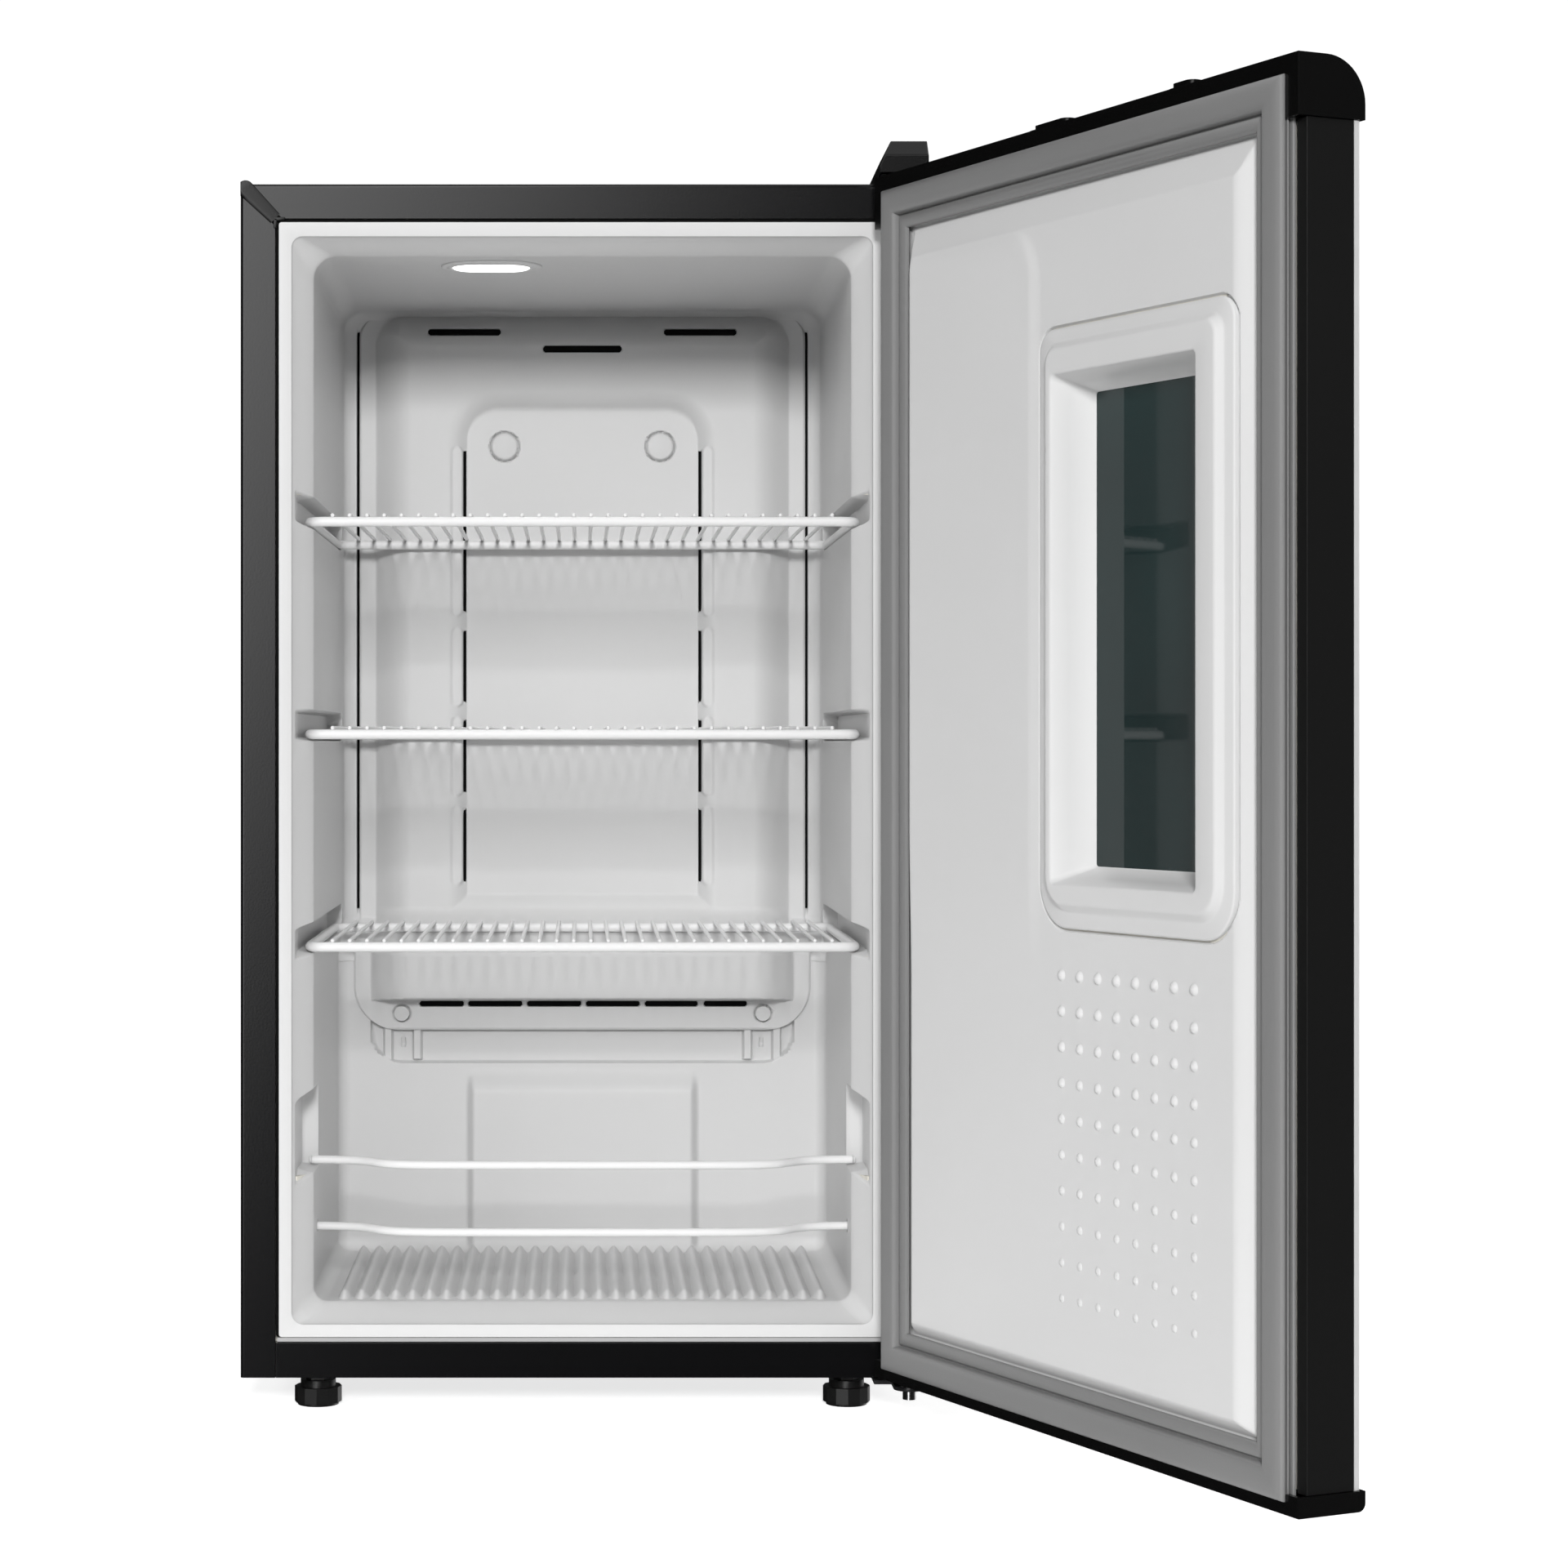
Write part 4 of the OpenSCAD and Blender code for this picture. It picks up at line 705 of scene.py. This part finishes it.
# ---- door: inner moulding, window frame and gasket ---------------------------------------------
def mould_depth(x, z):
    """Height of the door's moulded inner face, in closed-door Y."""
    up = np.minimum.reduce([smooth(-199.0, -178.0, x), 1 - smooth(188.0, 198.5, x),
                            smooth(65.0, 76.0, z), 1 - np.clip((z - 801.0) / 22.0, 0.0, 1.0)])
    return FRAME_Y + (MOULD_Y - FRAME_Y) * up


def bump(x, z, size, tall):
    """A flattened sphere sunk in the door's face."""
    sides = 14
    turn = [math.pi * 2 * m / sides for m in range(sides)]
    steps = [(1.25, -0.3), (1.0, 0.0)]
    steps += [(t, tall * (1 - t * t) ** 0.8) for t in (0.8, 0.55, 0.28)]
    rings = [[(x + size * t * math.cos(a), MOULD_Y + h, z + size * t * math.sin(a)) for a in turn]
             for t, h in steps]
    v, f = loft(rings)
    v.append((x, MOULD_Y + tall, z))
    last = (len(rings) - 1) * sides
    f += [(last + m, last + (m + 1) % sides, len(v) - 1) for m in range(sides)]
    return v, f


def build_door_face():
    """The door's inner moulding, open where the window frame sits, with its grid of bumps."""
    (x0, x1), (z0, z1) = BEZEL_X, BEZEL_Z
    xs = lines((-199, 199, 8.0), (-199, -172, 1.8), (180, 199, 1.5), (x0 - 3, x0 + 12, 0.75),
               (x1 - 34, x1 + 3, 0.75), (24, 96, 2.0), (x0 + 12, x0 + 32, 1.0))
    zs = lines((66, 823, 9.0), (66, 78, 1.4), (796, 823, 0.8), (z1 - 17, z1 + 3, 0.75),
               (z0 - 3, z0 + 34, 0.75), (700, 820, 3.0))
    X, Z = np.meshgrid(xs, zs, indexing="ij")
    Y = mould_depth(X, Z)
    # the left part stands slightly proud and curves away above the window
    bend = 27.0 + 34.0 * (1 - np.sqrt(1 - np.clip((Z - 768.0) / 34.0, 0.0, 1.0) ** 2))
    step = smooth(bend - 1.0, bend + 14.0, X)
    Y = Y + 1.5 * step * smooth(65, 76, Z) * (1 - smooth(790, 806, Z)) * smooth(300, 420, Z)
    # the seam round the window frame
    mx, hx = (x0 + x1) / 2, (x1 - x0) / 2
    mz, hz = (z0 + z1) / 2, (z1 - z0) / 2
    r = np.where(Z > mz, BEZEL_TOP_R, BEZEL_LOW_R)
    qx, qz = np.abs(X - mx) - (hx - r), np.abs(Z - mz) - (hz - r)
    away = np.hypot(np.maximum(qx, 0), np.maximum(qz, 0)) + np.minimum(np.maximum(qx, qz), 0) - r
    Y = Y - 3.0 * (smooth(-2.2, -0.9, away) - smooth(0.3, 1.3, away))
    cx = (X[:-1, :-1] + X[1:, 1:]) / 2
    cz = (Z[:-1, :-1] + Z[1:, 1:]) / 2
    keep = ~((cx > x0 + 12) & (cx < x1 - 12) & (cz > z0 + 14) & (cz < z1 - 14))
    parts = [sheet(X, Y, Z, keep)]
    # the flat rim that carries the gasket
    rim = rounded_loop(-221.0, 221.0, 43.0, 826.4, 2.0, 4)
    inner = rounded_loop(-198.9, 198.9, 66.1, 822.9, 0.4, 4)
    parts.append(loft([[(a, y, b) for a, b in loop] for loop, y in
                       ((rim, FRAME_Y - 2.0), (rim, FRAME_Y), (inner, FRAME_Y))]))
    for i in range(BUMPS_ACROSS):
        for j in range(BUMPS_DOWN):
            parts.append(bump(BUMP_X - i * BUMP_STEP_X, BUMP_Z - j * BUMP_STEP_Z,
                              4.0 - 0.12 * j, 2.4 - 0.16 * j))
    v, f = join(parts)
    make("door_moulding", v, f, "door", DOOR_WHITE, ["door_liner"], on_door=True)


def build_bezel():
    """The inner window frame: seam groove, rolled edge, soft shoulder, plateau and tunnel."""
    loops = []

    def add(spans, left, low, top, y, radii):
        """A loop at depth y, inset from both spans."""
        (x0, x1), (z0, z1) = spans
        loops.append([(a, y, b) for a, b in
                      rounded_loop(x0 + left, x1 - left, z0 + low, z1 - top, radii, 8)])

    frame_spans, pane_spans = (BEZEL_X, BEZEL_Z), (PANE_X, PANE_Z)
    for inset, rise in ((1.0, -2.6), (0.7, 0.3), (1.3, 0.95), (2.4, 1.3)):
        low_r, top_r = BEZEL_LOW_R - inset, BEZEL_TOP_R - inset
        add(frame_spans, inset, inset, inset, MOULD_Y + rise, (low_r, low_r, top_r, top_r))
    for left, low, top, y, low_r, top_r in (
            (9.0, 10.0, 9.0, MOULD_Y + 1.5, 25, 12), (10.6, 12.0, 11.0, MOULD_Y + 2.0, 23, 11),
            (13.2, 15.0, 13.0, PLATEAU_Y - 0.7, 20, 10),
            (14.6, 16.6, 14.6, PLATEAU_Y - 0.1, 18, 9), (15.6, 17.8, 15.6, PLATEAU_Y, 17, 8)):
        add(frame_spans, left, low, top, y, (low_r, low_r, top_r, top_r))
    for grow, y, r in (
            (11.6, PLATEAU_Y, 5.0), (10.6, PLATEAU_Y - 0.25, 4.6), (9.9, PLATEAU_Y - 1.2, 4.2),
            (6.0, PLATEAU_Y - 11.5, 3.6), (0.6, PANE_Y + 0.9, 2.6), (-0.4, PANE_Y + 0.1, 2.2),
            (-0.4, PANE_Y - 0.1, 2.2)):
        add(pane_spans, -grow, -grow, -grow, y, r)
    v, f = loft(loops)
    make("window_frame", v, f, "door", DOOR_WHITE, ["window_bezel"], on_door=True)


def build_gasket():
    """The gasket's section swept round the door; its corners are mitred."""
    # distance in from the outer edge, and height below the crest
    section = [
        (0.9, -4.9), (0.2, -4.5), (0.0, -3.8), (0.3, -2.4), (1.2, -1.3), (3.0, -0.4), (5.0, 0.0),
        (9.0, 0.0), (13.5, -0.1), (16.8, -0.5), (17.9, -1.6), (18.5, -4.0), (18.8, -6.4),
        (19.6, -6.6), (20.3, -5.0), (21.3, -4.2), (24.8, -4.1), (27.2, -4.7), (28.6, -5.7),
        (28.9, -7.4), (28.2, -8.3), (26.2, -8.8), (25.2, -9.6), (25.0, -11.3), (-1.0, -11.3),
        (-1.2, -10.2), (-0.6, -9.3), (4.6, -9.1), (4.8, -7.9), (0.9, -7.7), (0.6, -7.2),
        (0.9, -6.7), (4.6, -6.5), (4.6, -5.1)]
    x, (z0, z1) = GASKET_X, GASKET_Z
    loops = [[(sx * (x - u), d - GASKET_GAP, z0 + u if sz < 0 else z1 - u)
              for sx, sz in ((-1, -1), (1, -1), (1, 1), (-1, 1))] for u, d in section]
    v, f = loft(loops + loops[:1])
    make("gasket_strip", v, f, "door", GASKET, ["door_gasket"], on_door=True,
         angle=40)


# ---- trims and lamp ----------------------------------------------------------------------------
TRIM_LEN, TRIM_TALL = 34.6, 0.56
# across the trim: a steep lower side that catches light and a long dark upper side
TRIM_PROFILE = ((1.0, -0.1), (0.97, 0.2), (0.9, 0.3), (0.45, 0.55), (0.0, 0.8), (-0.35, 0.97),
                (-0.5, 1.0), (-0.62, 0.9), (-0.8, 0.5), (-0.97, 0.05), (-1.0, -0.1))
TRIM_BACK_Y = 1.6


def mitre_ridge(side):
    """One trim, a low ridge with a rounded outer end laid along the mitre."""
    diagonal = math.sqrt(0.5)
    sections = []
    for at in (-1.0, -0.6, 0.3, 1.8, 3.6, 6.0, 12.0, 18.0, 24.0, 30.0, 33.0, TRIM_LEN):
        wide = 6.3 - 1.7 * max(0.0, at) / TRIM_LEN
        if at < 5.2:
            wide *= math.sqrt(max(0.02, 1 - ((5.2 - at) / 6.2) ** 2))
        tall = TRIM_TALL
        if at < 3.6:
            tall *= math.sqrt(max(0.03, 1 - ((3.6 - at) / 4.62) ** 2))
        row = []
        for t, share in TRIM_PROFILE:
            u, along = wide * t * diagonal, at * diagonal
            x = min(HALF_W - 0.02, HALF_W - along - u)
            row.append((side * x, -tall * share, CAB_TOP - along + u))
        row += [(row[-1][0], TRIM_BACK_Y, row[-1][2]), (row[0][0], TRIM_BACK_Y, row[0][2])]
        sections.append(row)
    v, f = loft(sections, close_last=True)
    f.append(tuple(reversed(range(len(sections[0])))))
    return v, f


def mitre_leg(side, x0, x1, z0, z1):
    """One of the two short feet at a trim's inner end."""
    rows = []
    for grow, y, r in ((0.0, 1.2, 0.9), (0.0, -0.3, 0.9), (-0.2, -0.42, 0.9), (-0.5, -0.46, 0.3)):
        loop = rounded_loop(x0 - grow, x1 + grow, z0 - grow, z1 + grow, r, 3)
        rows.append([(side * a, y, b) for a, b in loop])
    v, f = loft(rows, close_last=True)
    f.append(tuple(reversed(range(len(rows[0])))))
    return v, f


def build_trims():
    """The two black trims over the front mitres of the cabinet's top corners."""
    parts = []
    for side in (-1, 1):
        parts.append(mitre_ridge(side))
        parts.append(mitre_leg(side, 208.4, 216.4, 836.6, 839.2))
        parts.append(mitre_leg(side, 214.0, 216.8, 831.2, 838.4))
    v, f = join(parts)
    make("mitre_trims", v, f, "cabinet", TRIM, ["corner_trims"])


def build_lamp():
    """The ceiling lamp: a rim in the ceiling, the lit window, and the collar round it."""
    def pills(x0, x1, y0, y1, steps):
        """Pill-shaped loops; each step grows the loop and sets its height over the ceiling."""
        rows = []
        for grow, up in steps:
            a0, a1, b0, b1 = x0 - grow, x1 + grow, y0 - grow, y1 + grow
            loop = rounded_loop(a0, a1, b0, b1, (b1 - b0) / 2 - 0.01, 10)
            rows.append([(a, b, ROOM_Z1 + up) for a, b in loop])
        return rows

    v, f = loft(pills(-102, -29, 41, 103, ((0.0, 0.6), (0.0, -0.5), (-0.5, -0.95), (-1.4, -1.1),
                                           (-5.5, -1.1), (-6.4, -0.7), (-6.8, 0.5))))
    make("lamp_rim", v, f, "cabinet", DOOR_WHITE, ["lamp_base"])
    v, f = loft(pills(-93.4, -38.6, 57, 92, ((0.0, 0.4), (0.0, -1.3), (-0.4, -1.8), (-1.2, -2.0),
                                             (-8.0, -2.1))), close_last=True)
    make("lamp_window", v, f, "cabinet", LENS, ["lamp_lens"], angle=60)
    v, f = loft(pills(-94.2, -37.8, 56.2, 92.8, ((0.0, 0.3), (0.0, -1.2), (0.5, -1.5),
                                                 (5.0, -1.0), (6.0, 0.3))))
    make("lamp_collar", v, f, "cabinet", DOOR_WHITE)


build_liner()
build_cover()
build_painted_shade_sheets()
for node, body, z, (y0, y1) in zip(("shelf_upper", "shelf_middle", "shelf_lower"),
                                   ("upper_shelf", "middle_shelf", "lower_shelf"),
                                   SHELF_Z, SHELF_Y):
    build_shelf(node, body, z, y0, y1)
for (node, z), body in zip(GUARDS, ("upper_guard", "cabinet")):
    build_guard(node, body, z)
build_trims()
build_lamp()
build_door_face()
build_bezel()
build_gasket()


# ---- floor, light and camera -------------------------------------------------------------------
FLOOR_GLOW, FLOOR_SEEN = 0.42, 0.72         # the floor's light for other rays and for the camera
BACKDROP = 1.05                             # the background that the camera sees


def background(strength):
    """A white background of one strength, or of the strength that a socket gives."""
    node = nt.nodes.new("ShaderNodeBackground")
    node.inputs["Color"].default_value = (1.0, 1.0, 1.0, 1.0)
    if isinstance(strength, float):
        node.inputs["Strength"].default_value = strength
    else:
        nt.links.new(strength, node.inputs["Strength"])
    return node.outputs[0]


def ramp(source, a, b, low, high, kind="SMOOTHSTEP"):
    """low where the source is at or below a, high at or above b."""
    node = nt.nodes.new("ShaderNodeMapRange")
    node.interpolation_type = kind
    for key, value in (("From Min", a), ("From Max", b), ("To Min", low), ("To Max", high)):
        node.inputs[key].default_value = value
    nt.links.new(source, node.inputs["Value"])
    return node.outputs["Result"]


def math_node(kind, a, b):
    """A sum, difference or product of two sockets or numbers."""
    node = nt.nodes.new("ShaderNodeMath")
    node.operation = kind
    for socket, value in zip(node.inputs, (a, b)):
        if isinstance(value, float):
            socket.default_value = value
        else:
            nt.links.new(value, socket)
    return node.outputs[0]


def area_light(name, place, target, size, power):
    """A square lamp that points at target."""
    data = bpy.data.lights.new(name, "AREA")
    data.energy = power
    data.shape = "RECTANGLE"
    data.size = size
    data.size_y = size
    obj = bpy.data.objects.new(name, data)
    bpy.context.scene.collection.objects.link(obj)
    obj.location = place
    aim = Vector(target) - Vector(place)
    obj.rotation_euler = aim.to_track_quat("-Z", "Y").to_euler()
    obj.visible_glossy = False
    return obj


floor_mesh = bpy.data.meshes.new("studio_floor")
floor_mesh.from_pydata([(-3, -0.9, 0), (3, -0.9, 0), (3, 4, 0), (-3, 4, 0)], [], [(0, 1, 2, 3)])
floor = bpy.data.objects.new("studio_floor", floor_mesh)
bpy.context.scene.collection.objects.link(floor)
floor_mat = node_material("pale_floor", 0.92, 0.8, bump=0.02, bump_scale=60, mottle=0.004,
                          emission=FLOOR_SEEN)
floor.data.materials.append(floor_mat)
nt = floor_mat.node_tree
seen = nt.nodes.new("ShaderNodeLightPath")
shine = ramp(seen.outputs["Is Camera Ray"], 0.0, 1.0, FLOOR_GLOW, FLOOR_SEEN, "LINEAR")
nt.links.new(shine, nt.nodes["Principled BSDF"].inputs["Emission Strength"])
floor.visible_glossy = False

world = bpy.data.worlds.new("studio")
bpy.context.scene.world = world
world.use_nodes = True
nt = world.node_tree

# what gloss reflects: a dark studio with one wide graded panel at the upper left of the front
way = nt.nodes.new("ShaderNodeTexCoord")
split = nt.nodes.new("ShaderNodeSeparateXYZ")
nt.links.new(way.outputs["Generated"], split.inputs["Vector"])
X, Y, Z = split.outputs["X"], split.outputs["Y"], split.outputs["Z"]
slope = math_node("SUBTRACT", math_node("MULTIPLY", Z, 11.5), math_node("MULTIPLY", X, 21.0))
panel = ramp(slope, 0.75, 4.2, 0.0, 3.6, "LINEAR")
for edge in (ramp(X, -0.55, -0.22, 0.0, 1.0), ramp(Z, 0.35, 0.75, 1.0, 0.0),
             ramp(Y, -0.5, 0.0, 1.0, 0.0)):
    panel = math_node("MULTIPLY", panel, edge)
overhead = ramp(Z, 0.45, 1.0, 0.01, 0.6)
behind = math_node("MULTIPLY", ramp(Y, 0.05, 0.5, 0.0, 1.0), ramp(X, 0.25, 0.6, 0.0, 0.9))
gloss = math_node("ADD", math_node("ADD", panel, overhead), behind)
# what lights the dull surfaces: little, except from the right
fill = ramp(X, 0.3, 0.9, 0.16, 1.3)

rays = nt.nodes.new("ShaderNodeLightPath")
mix_gloss = nt.nodes.new("ShaderNodeMixShader")
nt.links.new(rays.outputs["Is Glossy Ray"], mix_gloss.inputs[0])
nt.links.new(background(fill), mix_gloss.inputs[1])
nt.links.new(background(gloss), mix_gloss.inputs[2])
mix = nt.nodes.new("ShaderNodeMixShader")
nt.links.new(rays.outputs["Is Camera Ray"], mix.inputs[0])
nt.links.new(mix_gloss.outputs[0], mix.inputs[1])
nt.links.new(background(BACKDROP), mix.inputs[2])
nt.links.new(mix.outputs[0], nt.nodes["World Output"].inputs["Surface"])

area_light("key", (-4.0, -4.6, 3.3), (0.1, 0.0, 0.45), 2.6, 110)
area_light("front", (0.0, -5.2, 1.9), (0.0, 0.3, 0.4), 0.8, 225)
glow = area_light("lamp_glow", (-0.02, 0.14, 0.79), (-0.02, 0.16, 0.1), 0.2, 0.2)
glow.data.spread = math.radians(70.0)
glow.visible_camera = False

cam_data = bpy.data.cameras.new("camera")
cam = bpy.data.objects.new("camera", cam_data)
bpy.context.scene.collection.objects.link(cam)
cam.location = (0.0, -2.382, 0.470)
cam.rotation_euler = (math.radians(90), 0, 0)
cam_data.sensor_width = 36.0
cam_data.lens = 77.93
cam_data.shift_x = 0.1286
cam_data.shift_y = -0.026
cam_data.clip_end = 100.0
bpy.context.scene.camera = cam
bpy.context.scene.view_settings.view_transform = "Standard"
